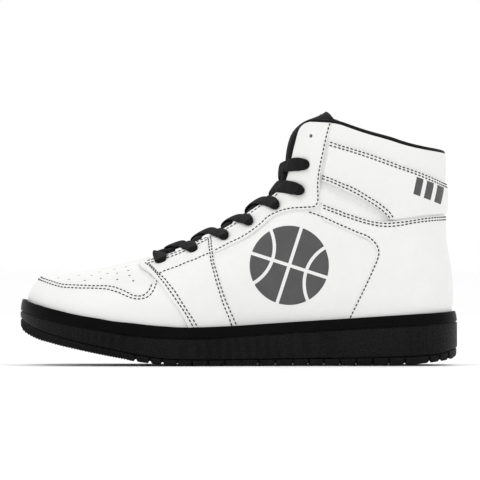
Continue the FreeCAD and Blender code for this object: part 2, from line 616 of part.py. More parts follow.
def o_collar(x, z):
    return o_line - (size("collar_pad") + o_line) * pad_depth(x, z)


foam_front = Curve([(70.0, 112.0), (70.5, 125.0), (71.5, 140.0), (72.5, 152.0), (73.0, 162.0)])
foam = coons(back_line(106.0, 142.6), foam_front, Curve([(141.2, 106.0), (120, 104.5), (100, 104.5), (85, 107.5), (70.0, 112.0)]),
             Curve([(141.2, 142.6), (131, 144.6), (118, 148.2), (104, 152.6), (90, 156.8), (73.0, 162.0)]))
feature("collar_padding", wrap(lambda t, s: foam(s, t), -(LE + GAP), lambda x, z: o_collar(x, z) + GAP, 12, 49, REF_HEEL))

lin_split = [(x, z) for x, z in SPLIT]
heel_lining = coons(back_line(tuck_z(144) + 0.3, 101.8), quarter_front, low_line(144.6, -26.4, 0.2), Curve(SPLIT))
feature("quarter_lining", wrap(lambda t, s: heel_lining(s, t), o_collar, lambda x, z: o_collar(x, z) - LI, 26, 81, REF_HEEL))
feature("collar_lining", wrap(lambda t, s: ankle(s, t), o_collar, lambda x, z: o_collar(x, z) - LI, 16, 61, REF_HEEL))

counter_front = Curve([(78.0, tuck_z(78.0) + 0.5), (84.0, 45.0), (92.0, 60.0), (99.0, 74.0), (106.0, 84.0)])
counter = coons(back_line(tuck_z(144) + 0.5, 88.0), counter_front, low_line(144.6, 78.0, 0.5), Curve([(141.7, 88.0), (130.0, 87.5), (118.0, 86.0), (106.0, 84.0)]))
feature("heel_counter", wrap(lambda t, s: counter(s, t), o_puff, o_puff - PU, 12, 41, REF_HEEL))

# overlays
heel_panel = coons(back_line(tuck_z(144), 102.9), Curve(HEEL_FRONT), low_line(144.6, 74.3), Curve(HEEL_TOP))
feature("heel_panel", wrap(lambda t, s: heel_panel(s, t), OV + GAP, GAP, 26, 51, REF_HEEL))
ankle_panel = coons(back_line(103.8, 125.1), Curve([(58.2, 125.6), (58.7, 131.3), (59.8, 137.1), (60.9, 142.0), (61.8, 147.4), (62.6, 153.9)]),
                    Curve(ANKLE_LOW), Curve(ANKLE_TOP))
feature("ankle_panel", wrap(lambda t, s: ankle_panel(s, t), OV + GAP, GAP, 10, 61, REF_HEEL))

saddle_top = Curve([(-68.0, 69.2), (-63.4, 71.0), (-59.0, 72.2), (-53.8, 73.4), (-49.7, 74.6), (-40.1, 78.2), (-31.2, 82.7), (-22.2, 87.2), (-17.6, 89.6)])
SF = [(-68.0, 69.2)] + SADDLE_FRONT[1:]
saddle = coons(Curve([(x, tuck_z(x)) for x in lin(-33.2, 1.6, 10)]), saddle_top,
               Curve(SF).back(), Curve(SADDLE_REAR).back())
stay = ladder(STAY)
for lab, f, nu, nv in (("saddle", saddle, 14, 20), ("eyelet_stay", stay, 40, 8)):
    for sl, sd in (("lateral", -1), ("medial", 1)):
        feature(lab + "_" + sl, flank(f, sd, OV + GAP, GAP, nu, nv))

# rolled edge on the topline
bh = size("binding_height")
bind = coons(Curve([(141.5, 143.4 + 0.25), (141.5, 143.4 + 0.25 + bh)]), Curve([(44.5, 165.4 + 0.35), (44.5, 165.4 + 0.35 + bh)]),
             Curve([(x, z + 0.3) for x, z in TOPLINE[::-1][:-1]] + [(44.5, 165.75)]), Curve([(x, z + 0.3 + bh) for x, z in TOPLINE[::-1][:-1]] + [(44.5, 165.75 + bh)]))
feature("collar_binding", wrap(lambda t, s: bind(s, t), 0.4, lambda x, z: o_collar(x, z) - LI, 5, 61, REF_HEEL))

# ---------------------------------------------------------------- the tongue
# Centre line of the tongue's outside, from its seam at the vamp to its top.
TONGUE = [(-58.6, 74.1), (-50.2, 76.9), (-40.0, 80.1), (-29.5, 84.7), (-19.1, 89.7), (-8.7, 94.6), (1.7, 101.1), (12.0, 108.8),
          (18.9, 113.6), (24.2, 117.8), (28.2, 122.3), (30.2, 126.8), (31.0, 131.5), (31.4, 139.0), (32.3, 147.5), (33.8, 153.9),
          (35.6, 158.6), (38.4, 162.6), (41.8, 165.8), (45.6, 168.2), (49.8, 169.9), (54.0, 171.3), (58.0, 172.8), (61.2, 174.6)]
tcurve = Curve(TONGUE)
T_END = 1.0


def tongue_frame(s):
    e = 0.004
    a, b = tcurve(max(0, s - e)), tcurve(min(1, s + e))
    tx, tz = b[0] - a[0], b[1] - a[1]
    l = math.hypot(tx, tz)
    c = tcurve(s)
    return c, (tz / l, -tx / l)


W_T = [(0.0, 20.0), (0.08, 23.0), (0.3, size("tongue_half_width")), (0.6, size("tongue_half_width")), (0.8, size("tongue_half_width_top")),
       (0.95, size("tongue_half_width_top")), (1.0, size("tongue_half_width_top") - 2.5)]
A_T = [(0.0, 47.0), (0.3, 43.0), (0.6, 38.0), (0.8, 37.5), (1.0, 37.5)]
R_T = [(0.0, 47.0), (0.3, 45.0), (0.6, 38.0), (0.75, 34.0), (0.9, 24.0), (1.0, 16.0)]
GAP_T = [(0.0, 9.0), (0.1, 11.0), (0.3, 13.0), (0.6, 14.0), (0.75, 19.0), (1.0, 24.0)]


def tongue_point(s, v, deep=0.0):
    c, n = tongue_frame(s)
    y = v * at(W_T, s)
    d = at(R_T, s) * (1 - max(0.0, 1 - (abs(y) / at(A_T, s)) ** 2) ** (1 / 2.3))
    g = at(GAP_T, s)
    d += 0.7 + (6.3 * smooth((abs(y) - 0.45 * g) / (0.5 * g)) + 0.0112 * y * y) * (1 - 0.75 * smooth((s - 0.84) / 0.12)) + deep
    x, z = c[0] + n[0] * d, c[1] + n[1] * d
    return V(x, cy(c[0]) + y + 1.7 * smooth((s - 0.35) / 0.3), z)


def tongue_layer(o0, o1, s0, s1, vmax, nu, nv):
    us, vs = lin(s0, s1, nu), lin(-vmax, vmax, nv)
    a = [[tongue_point(u, v, o0) for v in vs] for u in us]
    b = [[tongue_point(u, v, o1) for v in vs] for u in us]
    return solid_between(a, b)


ts, tf, tl = size("tongue_shell"), size("tongue_foam"), size("tongue_lining")
feature("tongue_shell", tongue_layer(0.0, ts, 0.0, 1.0, 1.0, 40, 25))
feature("tongue_padding", tongue_layer(ts + GAP, ts + GAP + tf, 0.03, 0.985, 0.95, 36, 21))
feature("tongue_lining", tongue_layer(ts + 2 * GAP + tf, ts + 2 * GAP + tf + tl, 0.0, 1.0, 0.95, 40, 25))

# ---------------------------------------------------------------- the laces
LW, LT = size("lace_width"), size("lace_thickness")
lcurve = Curve(INSTEP[2:])


def lace_base(s, y):
    """Point on the upper over the instep at centre-line place s and side position y."""
    e = 0.004
    a, b = lcurve(max(0, s - e)), lcurve(min(1, s + e))
    tx, tz = b[0] - a[0], b[1] - a[1]
    l = math.hypot(tx, tz)
    c = lcurve(s)
    A = 47.0 if s < 0.3 else 47.0 - 8.0 * smooth((s - 0.3) / 0.4)
    R = 46.0 if s < 0.5 else 46.0 - 11.0 * smooth((s - 0.5) / 0.25)
    d = R * (1 - max(0.0, 1 - (abs(y) / A) ** 2) ** (1 / 2.4))
    return V(c[0] + tz / l * d, cy(c[0]) + y, c[1] - tx / l * d)


def lace_normal(s, y, e=0.01):
    """Outward direction of the upper over the instep."""
    n = (lace_base(s + e, y) - lace_base(s - e, y)).cross(lace_base(s, y + 0.5) - lace_base(s, y - 0.5))
    n.normalize()
    a, b = lcurve(max(0, s - e)), lcurve(min(1, s + e))
    out = V(-(b[1] - a[1]), 0, b[0] - a[0])
    out.normalize()
    if n.dot(out + V(0, y / 25.0, 0)) < 0:
        n = n * -1
    return n


def lace_at(s, y, off):
    return lace_base(s, y) + lace_normal(s, y) * off


def eyelet_place(i):
    """Centre-line place and side position of eyelet i."""
    x, z = EYELETS[i]
    best = (1e9, 0)
    for k in range(401):
        c = lcurve(k / 400.0)
        d = math.hypot(c[0] - x, c[1] - z)
        if d < best[0]:
            best = (d, k / 400.0)
    s = best[1]
    A = 47.0 if s < 0.3 else 47.0 - 8.0 * smooth((s - 0.3) / 0.4)
    R = 46.0 if s < 0.5 else 46.0 - 11.0 * smooth((s - 0.5) / 0.25)
    y = A * math.sqrt(max(0.0, 1 - (1 - min(1.0, best[0] / R)) ** 2.4))
    return s, y


EY = [eyelet_place(i) for i in range(7)]
GL = [(0.0, 9.5), (0.1, 11.0), (0.3, 12.5), (0.55, 14.0), (0.7, 19.0), (1.0, 24.0)]
low = 0.25 - 1.0 + 1.0
over = OV + GAP + 0.3 + LT / 2


def strip(path):
    """Flat lace along a path of (s, y, height of its middle)."""
    n = len(path)
    us = [i / (n - 1.0) for i in range(n)]
    ts_ = [[(u, p[k]) for u, p in zip(us, path)] for k in range(3)]

    def P(u, v, h):
        s, y, o = [at(tb, u) for tb in ts_]
        a = lace_at(at(ts_[0], max(0, u - 0.02)), at(ts_[1], max(0, u - 0.02)), o)
        b = lace_at(at(ts_[0], min(1, u + 0.02)), at(ts_[1], min(1, u + 0.02)), o)
        d = b - a
        d.normalize()
        n = lace_normal(s, y, 0.012)
        w = d.cross(n)
        w.normalize()
        return lace_at(s, y, o) + w * (v * LW / 2) + n * h
    uu, vv = lin(0, 1, 19), lin(-1, 1, 7)
    a = [[P(u, v, LT / 2) for v in vv] for u in uu]
    b = [[P(u, v, -LT / 2) for v in vv] for u in uu]
    return solid_between(a, b)


def crossing(i, side, up):
    """From the throat edge beside eyelet i on one side to eyelet i+1 on the other."""
    s0, s1 = EY[i][0], EY[i + 1][0]
    g0 = at(GL, s0)
    g1 = at(GL, s1)
    y1 = EY[i + 1][1]
    hi = 0.35 + (LT + 0.45 if up else 0.0)
    pts = []
    ya, yb = g0 - 2.5 - 3.0 * smooth((s0 - 0.35) / 0.2), -y1
    for k, f in enumerate((0.0, 0.15, 0.3, 0.45, 0.6, 0.75, 0.9, 1.0)):
        y = ya + (yb - ya) * f
        s = s0 + (s1 - s0) * (0.4 + 0.6 * f)
        e = smooth((-y - g1 + 7.0) / 4.0)
        mid = math.exp(-((y + 0.0) / 9.0) ** 2)
        o = (0.35 + (hi - 0.35) * mid) * (1 - e) + over * e
        pts.append((s, -side * y * -1.0, o))
    return strip(pts)


bar = []
s1e, y1e = EY[0]
for f in lin(-1.0, 1.0, 15):
    y = f * y1e
    e = smooth((abs(y) - at(GL, s1e) + 6.0) / 4.0)
    bar.append((s1e, y, 0.35 * (1 - e) + over * e))
feature("lace_bottom_bar", strip(bar))
feature("lace_to_lateral", Part.makeCompound([crossing(i, 1, True) for i in range(0, 6)]))
feature("lace_to_medial", Part.makeCompound([crossing(i, -1, False) for i in range(0, 6)]))

# ---------------------------------------------------------------- checks and files
doc.recompute()
bad = []
for o in doc.Objects:
    if "Invalid" in o.State or "Error" in o.State:
        bad.append("%s state %s" % (o.Name, o.State))
for o in NODES:
    if o.Shape.isNull() or not o.Shape.isValid():
        bad.append("%s shape not valid" % o.Label)
    print("%-20s solids %d volume %.0f  box %s" % (o.Label, len(o.Shape.Solids), o.Shape.Volume,
          " ".join("%.1f" % q for q in (o.Shape.BoundBox.XMin, o.Shape.BoundBox.XMax, o.Shape.BoundBox.YMin,
                                        o.Shape.BoundBox.YMax, o.Shape.BoundBox.ZMin, o.Shape.BoundBox.ZMax))))
if bad:
    raise RuntimeError("; ".join(bad))
os.makedirs("parts", exist_ok=True)
for o in NODES:
    o.Shape.exportStep("parts/%s.step" % o.Label)
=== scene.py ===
import math

import bpy
import numpy as np
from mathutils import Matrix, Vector
from mathutils.bvhtree import BVHTree


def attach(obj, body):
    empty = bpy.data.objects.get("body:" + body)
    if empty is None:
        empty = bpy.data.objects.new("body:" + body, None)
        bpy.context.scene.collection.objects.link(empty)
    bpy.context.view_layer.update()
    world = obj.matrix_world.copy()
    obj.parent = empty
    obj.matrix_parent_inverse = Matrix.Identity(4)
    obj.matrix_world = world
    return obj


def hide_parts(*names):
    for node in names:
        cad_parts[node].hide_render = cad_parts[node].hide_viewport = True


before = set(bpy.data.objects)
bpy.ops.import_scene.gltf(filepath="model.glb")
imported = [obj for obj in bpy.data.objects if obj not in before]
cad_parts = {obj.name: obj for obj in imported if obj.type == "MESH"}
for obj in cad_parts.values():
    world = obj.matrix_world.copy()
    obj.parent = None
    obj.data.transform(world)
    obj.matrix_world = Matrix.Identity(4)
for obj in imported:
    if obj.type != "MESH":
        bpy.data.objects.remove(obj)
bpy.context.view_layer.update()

MM = 0.001

# =====================================================================
# camera, light, floor
# =====================================================================
scene = bpy.context.scene
cam_data = bpy.data.cameras.new("cam")
cam_data.lens = 600.0
cam_data.sensor_width = 36.0
cam = bpy.data.objects.new("cam", cam_data)
scene.collection.objects.link(cam)
cam.location = (0.0011, -5.4918, 0.0954)
cam.rotation_euler = (math.radians(90.0 - 0.1), 0.0, 0.0)
cam_data.clip_start, cam_data.clip_end = 0.05, 60.0
scene.camera = cam
scene.view_settings.view_transform = "Standard"
scene.view_settings.look = "None"


def area(name, loc, target, size, power, col=(1, 1, 1)):
    d = bpy.data.lights.new(name, "AREA")
    d.shape = "RECTANGLE"
    d.size, d.size_y = size
    d.energy = power
    d.color = col
    o = bpy.data.objects.new(name, d)
    o.location = loc
    o.rotation_mode = "QUATERNION"
    o.rotation_quaternion = (Vector(target) - Vector(loc)).to_track_quat("-Z", "Y")
    scene.collection.objects.link(o)
    return o


area("key", (-0.9, -1.3, 1.9), (0, 0, 0.08), (0.8, 0.8), 7.0)
area("fill", (1.3, -1.2, 0.9), (0, 0, 0.08), (0.9, 0.9), 1.2)
area("back", (0.2, 1.5, 1.4), (0, 0, 0.1), (1.2, 0.8), 4.0)
world = bpy.data.worlds.new("studio")
scene.world = world
world.use_nodes = True
world.node_tree.nodes["Background"].inputs[0].default_value = (1.0, 1.0, 1.0, 1)
world.node_tree.nodes["Background"].inputs[1].default_value = 1.0

# =====================================================================
# materials
# =====================================================================


class Mat:
    """A small helper around one node material with a Principled shader."""

    def __init__(self, name):
        self.m = bpy.data.materials.new(name)
        self.m.use_nodes = True
        self.t = self.m.node_tree
        self.b = self.t.nodes["Principled BSDF"]
        self.co = self.t.nodes.new("ShaderNodeTexCoord")

    def n(self, kind, **kw):
        nd = self.t.nodes.new(kind)
        for k, v in kw.items():
            if k.startswith("i_"):
                nd.inputs[k[2:].replace("_", " ")].default_value = v
            else:
                setattr(nd, k, v)
        return nd

    def l(self, a, b):
        self.t.links.new(a, b)

    def noise(self, scale, detail=3.0, rough=0.5, coord="Object", vec=None):
        nd = self.n("ShaderNodeTexNoise", i_Scale=scale, i_Detail=detail, i_Roughness=rough)
        self.l(vec if vec is not None else self.co.outputs[coord], nd.inputs["Vector"])
        return nd.outputs["Fac"]

    def voronoi(self, scale, feature="F1", coord="Object", rnd=1.0):
        nd = self.n("ShaderNodeTexVoronoi", feature=feature, i_Scale=scale, i_Randomness=rnd)
        self.l(self.co.outputs[coord], nd.inputs["Vector"])
        return nd.outputs["Distance"]

    def math(self, op, a, b=None, c=None, clamp=False):
        nd = self.n("ShaderNodeMath", operation=op, use_clamp=clamp)
        for i, v in enumerate((a, b, c)):
            if v is None:
                continue
            if isinstance(v, (int, float)):
                nd.inputs[i].default_value = v
            else:
                self.l(v, nd.inputs[i])
        return nd.outputs[0]

    def ramp(self, fac, stops):
        nd = self.n("ShaderNodeValToRGB")
        self.l(fac, nd.inputs[0])
        els = nd.color_ramp.elements
        while len(els) < len(stops):
            els.new(0.5)
        for e, (p, c) in zip(els, stops):
            e.position = p
            e.color = (c, c, c, 1) if isinstance(c, (int, float)) else (*c, 1)
        return nd.outputs[0]

    def bump(self, height, strength, distance, normal=None):
        nd = self.n("ShaderNodeBump", i_Strength=strength, i_Distance=distance)
        self.l(height, nd.inputs["Height"])
        if normal is not None:
            self.l(normal, nd.inputs["Normal"])
        return nd.outputs[0]

    def uv(self, su, sv):
        nd = self.n("ShaderNodeMapping")
        nd.inputs["Scale"].default_value = (su, sv, 1)
        self.l(self.co.outputs["UV"], nd.inputs["Vector"])
        return nd.outputs[0]

    def xyz(self, vec):
        nd = self.n("ShaderNodeSeparateXYZ")
        self.l(vec, nd.inputs[0])
        return nd.outputs

    def set(self, **kw):
        for k, v in kw.items():
            self.b.inputs[k.replace("_", " ")].default_value = v
        return self

    def col(self, out):
        self.l(out, self.b.inputs["Base Color"])

    def rough(self, out):
        self.l(out, self.b.inputs["Roughness"])

    def nrm(self, out):
        self.l(out, self.b.inputs["Normal"])


def leather(name, base=(0.80, 0.80, 0.79), seed=0.0, crease=0.0):
    """Smooth corrected white leather: fine pebble grain, faint mottling, soft sheen."""
    k = Mat(name)
    cells = k.voronoi(1500.0 + seed, "SMOOTH_F1")
    fine = k.noise(2600.0 + seed, 2.0)
    broad = k.noise(60.0 + seed, 3.0)
    mott = k.noise(240.0 + seed, 4.0)
    mix = k.math("MULTIPLY_ADD", broad, 0.6, k.math("MULTIPLY", mott, 0.4))
    k.col(k.ramp(mix, [(0.3, tuple(c * 0.975 for c in base)), (0.7, tuple(min(1, c * 1.012) for c in base))]))
    k.rough(k.ramp(mott, [(0.3, 0.40), (0.7, 0.50)]))
    h = k.math("ADD", k.math("MULTIPLY", cells, 0.8), k.math("MULTIPLY", fine, 0.25))
    n1 = k.bump(h, 0.16, 0.0003)
    n2 = k.bump(broad, 0.10, 0.0015, n1)
    k.nrm(n2)
    k.set(Specular_IOR_Level=0.42, Coat_Weight=0.06, Coat_Roughness=0.35)
    return k.m


M_LEATHER = leather("leather_white")
M_OVERLAY = leather("leather_overlay", seed=37.0)
M_TOE = leather("leather_toe", seed=71.0)
M_PAD = leather("leather_collar", seed=19.0)


def rubber(name, stipple=True, scale=900.0, strength=0.5, base=0.012, rough=(0.5, 0.62), spec=0.12):
    """Moulded rubber: stippled with fine raised dots whose tops carry a painted highlight, or smooth with faint mould
    marks.
    """
    k = Mat(name)
    v = k.voronoi(scale, "F1", rnd=0.55)
    nz = k.noise(420.0, 3.0)
    big = k.noise(35.0, 2.0)
    dots = k.ramp(v, [(0.12, 1.0), (0.55, 0.0)])
    if stipple:
        # painted highlight and shade: the colour is lighter on the raised dots and darker between them; the broad noise
        # is random tone
        dot_highlight_and_tone = k.math("MULTIPLY_ADD", dots, 0.62, k.math("MULTIPLY", big, 0.38))
        k.col(k.ramp(dot_highlight_and_tone, [(0.10, base * 0.35), (0.85, base * 2.6)]))
    else:
        k.col(k.ramp(big, [(0.3, base * 0.75), (0.75, base * 1.4)]))
    k.rough(k.ramp(nz, [(0.3, rough[0]), (0.7, rough[1])]))
    n = k.bump(dots, strength, 0.0003 if stipple else 0.0001)
    k.nrm(k.bump(nz, 0.12, 0.0004, n))
    k.set(Specular_IOR_Level=spec)
    return k.m


M_WALL = rubber("rubber_stippled", True, 900.0, 0.9, 0.0052, (0.40, 0.52), 0.08)
M_BAND = rubber("rubber_band", False, 2200.0, 0.15, 0.0024, (0.36, 0.44), 0.04)
M_TREAD = rubber("rubber_tread", True, 1200.0, 0.5, 0.0042, (0.5, 0.6), 0.10)


def cloth(name, base, scale_u, scale_v, kind="plain", strength=0.6, sheen=0.25, rough=0.85):
    """Woven or knitted cloth from UVs that are in millimetres."""
    k = Mat(name)
    uv = k.uv(1.0, 1.0)
    x, y, _ = k.xyz(uv)
    if kind == "plain":
        a = k.math("SINE", k.math("MULTIPLY", x, scale_u))
        b = k.math("SINE", k.math("MULTIPLY", y, scale_v))
        h = k.math("MULTIPLY_ADD", k.math("MULTIPLY", a, b), 0.5, 0.5)
    elif kind == "twill":
        s = k.math("ADD", k.math("MULTIPLY", x, scale_u), k.math("MULTIPLY", y, scale_v))
        a = k.math("SINE", s)
        b = k.math("SINE", k.math("MULTIPLY", y, 6.2))
        h = k.math("MULTIPLY_ADD", k.math("MULTIPLY_ADD", b, 0.25, a), 0.4, 0.5)
    elif kind == "rib":
        s = k.math("ADD", k.math("MULTIPLY", x, scale_u), k.math("MULTIPLY", y, scale_v))
        a = k.math("ABSOLUTE", k.math("SINE", s))
        b = k.math("SINE", k.math("MULTIPLY", y, 9.0))
        c = k.math("SINE", k.math("MULTIPLY", x, 9.0))
        h = k.math("MULTIPLY_ADD", k.math("MULTIPLY", b, c), 0.12, a)
    else:  # lace herringbone: x along, y across from -1 to 1
        ay = k.math("ABSOLUTE", y)
        s = k.math("SUBTRACT", k.math("MULTIPLY", x, scale_u), k.math("MULTIPLY", ay, scale_v))
        a = k.math("SINE", s)
        b = k.math("SINE", k.math("MULTIPLY", ay, 26.0))
        h = k.math("MULTIPLY_ADD", k.math("MULTIPLY", a, 1.0), 0.4, k.math("MULTIPLY_ADD", b, 0.12, 0.5))
    fuzz = k.noise(1800.0, 3.0)
    big = k.noise(50.0, 3.0)
    hh = k.math("MULTIPLY_ADD", fuzz, 0.3, h)
    # painted shade and painted highlight: the colour is darker in the weave's low spots and lighter on its raised
    # threads; the broad noise is random tone
    tone_and_painted_weave_shade = k.math("MULTIPLY_ADD", big, 0.5, k.math("MULTIPLY", hh, 0.55))
    k.col(k.ramp(tone_and_painted_weave_shade, [(0.15, tuple(c * 0.45 for c in base)), (0.85, tuple(c * 1.5 for c in base))]))
    k.nrm(k.bump(hh, strength, 0.0004))
    k.set(Roughness=rough, Specular_IOR_Level=0.12, Sheen_Weight=sheen, Sheen_Roughness=0.4)
    return k.m


M_LACE = cloth("lace_weave", (0.0065, 0.0065, 0.007), 4.6, 5.5, "lace", 1.0, 0.03, 0.8)
M_TONGUE = cloth("tongue_rib", (0.0075, 0.0075, 0.008), 1.9, 1.5, "rib", 1.0, 0.04, 0.85)
M_LINING = cloth("lining_mesh", (0.009, 0.009, 0.0095), 3.3, 3.3, "plain", 0.6, 0.05, 0.9)
M_BIND = cloth("binding_cloth", (0.006, 0.006, 0.0065), 5.0, 5.0, "plain", 0.5, 0.03, 0.8)
M_FOOTBED = cloth("footbed_knit", (0.013, 0.013, 0.0135), 2.4, 2.4, "twill", 0.6, 0.05, 0.92)


def thread(name, base):
    k = Mat(name)
    tw = k.noise(3000.0, 2.0)
    k.col(k.ramp(tw, [(0.3, base * 0.6), (0.7, base * 1.6)]))
    k.nrm(k.bump(tw, 0.4, 0.0002))
    k.set(Roughness=0.6, Specular_IOR_Level=0.15)
    return k.m


M_THREAD = thread("thread_black", 0.007)


def simple(name, base, rough, scale, strength, var=0.1):
    k = Mat(name)
    nz = k.noise(scale, 4.0)
    big = k.noise(scale / 12.0, 2.0)
    k.col(k.ramp(big, [(0.3, tuple(c * (1 - var) for c in base)), (0.7, tuple(min(1, c * (1 + var)) for c in base))]))
    k.rough(k.ramp(nz, [(0.3, rough - 0.06), (0.7, rough + 0.06)]))
    k.nrm(k.bump(nz, strength, 0.0004))
    return k.m


M_INK = simple("print_grey", (0.064, 0.064, 0.066), 0.48, 1500.0, 0.12, 0.08)
M_FOAM = simple("cushion_foam", (0.72, 0.71, 0.66), 0.9, 900.0, 0.5)
M_BOARD = simple("board_fibre", (0.45, 0.40, 0.31), 0.9, 700.0, 0.5)
M_STIFF = simple("stiffener_board", (0.55, 0.5, 0.42), 0.7, 500.0, 0.3)
M_SPONGE = simple("pad_sponge", (0.70, 0.62, 0.30), 0.95, 1100.0, 0.6)
M_FLOOR = simple("floor_white", (0.985, 0.985, 0.985), 0.7, 3.0, 0.0, 0.004)

# =====================================================================
# the shoe's surface, in millimetres (the same measures as the CAD)
# =====================================================================
RIM = [(-149.9, 45.2), (-146.5, 45.0), (-144.4, 44.0), (-143.1, 43.4), (-136.2, 41.3), (-129.3, 39.3), (-122.5, 37.7),
       (-115.6, 36.0), (-108.7, 34.6), (-101.9, 33.4), (-95.0, 32.3), (-88.1, 31.0), (-81.3, 30.1), (-74.4, 29.5),
       (-67.6, 28.7), (-60.7, 27.9), (-53.8, 27.3), (-47.0, 26.8), (-40.1, 26.4), (-33.2, 26.3), (-26.4, 26.4),
       (-12.6, 26.9), (1.1, 27.6), (14.8, 28.5), (42.3, 30.3), (76.6, 32.4), (110.9, 34.6), (138.4, 36.3), (150.5, 37.2)]
GROOVE = [(-150.6, 37.6), (-143.1, 35.1), (-129.3, 31.0), (-115.6, 27.9), (-95.0, 24.2), (-74.4, 20.7), (-53.8, 19.0),
          (-26.4, 18.3), (1.1, 20.0), (42.3, 22.8), (76.6, 24.9), (97.2, 26.0), (110.9, 26.6), (131.5, 28.1), (150.8, 30.1)]
TREADTOP = [(-150.6, 33.4), (-143.8, 28.3), (-136.2, 24.5), (-122.5, 20.0), (-108.7, 16.3), (-95.0, 13.2), (-81.3, 10.4),
            (-70.3, 8.2), (-51.8, 5.3), (-26.4, 4.4), (1.1, 4.6), (42.3, 5.1), (76.6, 5.5), (97.2, 5.8), (110.9, 6.3),
            (124.7, 7.0), (138.4, 8.4), (151.0, 12.6)]
BOTTOM = [(-151.0, 29.5), (-149.6, 26.2), (-147.2, 23.1), (-143.1, 20.4), (-136.2, 17.4), (-129.3, 15.5), (-122.5, 13.7),
          (-108.7, 10.6), (-95.0, 7.7), (-81.3, 5.1), (-67.6, 2.9), (-53.8, 1.4), (-40.1, 0.45), (-26.4, 0.0), (97.2, 0.0),
          (110.9, 0.4), (124.7, 1.5), (138.4, 3.2), (146.6, 4.9), (151.0, 8.0)]
TOE = [(-143.9, 40.0), (-143.7, 44.5), (-143.3, 47.5), (-142.0, 50.9), (-139.9, 54.3), (-137.9, 56.9), (-136.0, 58.9),
       (-134.2, 60.3), (-132.2, 61.1), (-128.0, 61.5), (-122.5, 61.9), (-115.6, 63.2), (-108.7, 64.3), (-101.9, 65.3),
       (-95.0, 66.3), (-88.1, 67.8), (-81.3, 69.5), (-74.4, 71.1), (-67.6, 72.6), (-61.5, 74.3)]
INSTEP = [(-74.4, 71.1), (-67.6, 72.6), (-61.5, 74.3), (-50.4, 77.9), (-40.1, 81.1), (-29.8, 85.8), (-19.5, 90.7), (-9.2, 95.6),
          (1.1, 102.0), (11.4, 109.6), (18.3, 114.4), (23.4, 118.4), (27.3, 122.7), (29.2, 127.0), (30.0, 131.5),
          (30.4, 139.0), (31.3, 147.7), (33.2, 156.0), (35.5, 165.0), (38.0, 175.0), (41.0, 186.0)]
BACK = [(144.3, 27.0), (144.8, 33.0), (145.2, 37.2), (145.9, 41.3), (146.2, 47.5), (146.2, 51.6), (145.8, 58.5), (145.1, 65.4), (144.0, 72.2),
        (142.8, 79.1), (141.9, 84.6), (141.4, 92.8), (141.2, 113.4), (141.3, 137.4), (141.5, 147.7), (142.0, 160.0)]
TOPLINE = [(42.3, 165.0), (48.5, 166.4), (56.0, 166.6), (64.9, 166.0), (69.7, 165.0), (76.6, 162.6), (83.5, 160.2), (90.3, 158.1),
           (97.2, 156.2), (104.1, 154.2), (110.9, 152.0), (117.8, 150.1), (124.7, 148.6), (131.5, 147.4), (138.4, 146.3), (141.5, 145.6)]
TOECAP_TOP = [(-135.2, 59.7), (-132.8, 60.1), (-129.3, 58.9), (-125.9, 57.9), (-122.5, 56.9), (-119.0, 56.2), (-112.2, 55.8), (-105.3, 55.6),
              (-98.4, 55.4), (-91.6, 55.3), (-86.8, 55.0), (-82.7, 54.0), (-78.5, 52.5), (-74.4, 50.7), (-71.7, 49.4),
              (-68.2, 48.9), (-65.5, 49.0), (-62.5, 50.8), (-60.4, 53.4), (-58.6, 56.0), (-57.4, 59.0)]
SADDLE_FRONT = [(-68.2, 68.4), (-66.2, 66.7), (-63.4, 65.0), (-59.3, 61.9), (-55.2, 57.8), (-51.1, 52.7), (-47.0, 46.8),
                (-43.5, 42.0), (-40.1, 37.2), (-37.3, 32.4), (-34.6, 26.2), (-33.2, 22.6)]
SADDLE_REAR = [(-17.6, 89.6), (-17.2, 88.0), (-17.0, 81.8), (-16.5, 76.3), (-15.9, 70.8), (-14.3, 65.4), (-12.4, 58.5),
               (-10.0, 51.6), (-7.6, 44.8), (-5.2, 39.3), (-3.0, 34.5), (0.1, 27.3), (1.6, 23.8)]
STAY = [((-16.4, 90.2), (-16.1, 76.4)), ((-11.3, 92.6), (-11.3, 78.4)), ((-3.7, 96.9), (-5.8, 81.3)), ((1.1, 100.0), (-0.3, 83.9)),
        ((5.2, 103.2), (5.2, 86.8)), ((10.7, 107.2), (10.7, 90.5)), ((16.2, 110.9), (16.2, 94.9)), ((20.3, 113.6), (24.4, 101.3)),
        ((24.6, 116.9), (36.0, 105.4)), ((28.5, 120.3), (48.5, 106.4)), ((31.8, 124.4), (54.6, 108.9)), ((33.5, 128.5), (56.2, 113.5)),
        ((34.7, 133.5), (56.4, 120.3)), ((35.8, 138.5), (56.5, 125.8)), ((36.9, 143.0), (57.0, 131.3)), ((38.0, 148.0), (58.1, 137.1)),
        ((39.2, 152.6), (59.2, 142.0)), ((40.2, 156.6), (60.1, 147.4)), ((41.2, 160.0), (61.5, 153.6)), ((42.6, 162.7), (62.9, 159.1)),
        ((45.2, 165.1), (63.9, 162.6)), ((49.0, 166.5), (64.6, 165.7))]
SPLIT = [(141.4, 101.8), (134.3, 101.2), (124.0, 100.2), (114.0, 98.6), (104.1, 97.4), (96.0, 97.7), (84.9, 100.4), (76.6, 103.1),
         (68.4, 106.2), (60.1, 109.4), (50.0, 112.6), (40.0, 115.4), (30.5, 118.6), (26.0, 118.2)]
HEEL_TOP = [(141.5, 102.9), (134.3, 102.4), (127.4, 101.7), (120.5, 100.7), (115.1, 99.8), (109.6, 99.1), (104.1, 98.6), (98.6, 98.6),
            (93.8, 99.1), (84.9, 101.4), (76.6, 104.1), (68.4, 107.2), (60.1, 110.3), (57.4, 111.6)]
HEEL_FRONT = [(73.0, 28.3), (75.0, 33.1), (78.0, 39.3), (81.4, 46.1), (84.8, 53.0), (88.3, 60.5), (91.0, 66.7), (93.3, 72.2), (94.3, 76.3),
              (93.9, 79.4), (92.3, 82.2), (89.8, 85.0), (86.8, 87.2), (81.5, 89.3), (76.0, 91.7), (69.1, 94.7), (62.3, 97.8),
              (57.0, 100.4), (55.6, 106.0), (57.4, 111.6)]
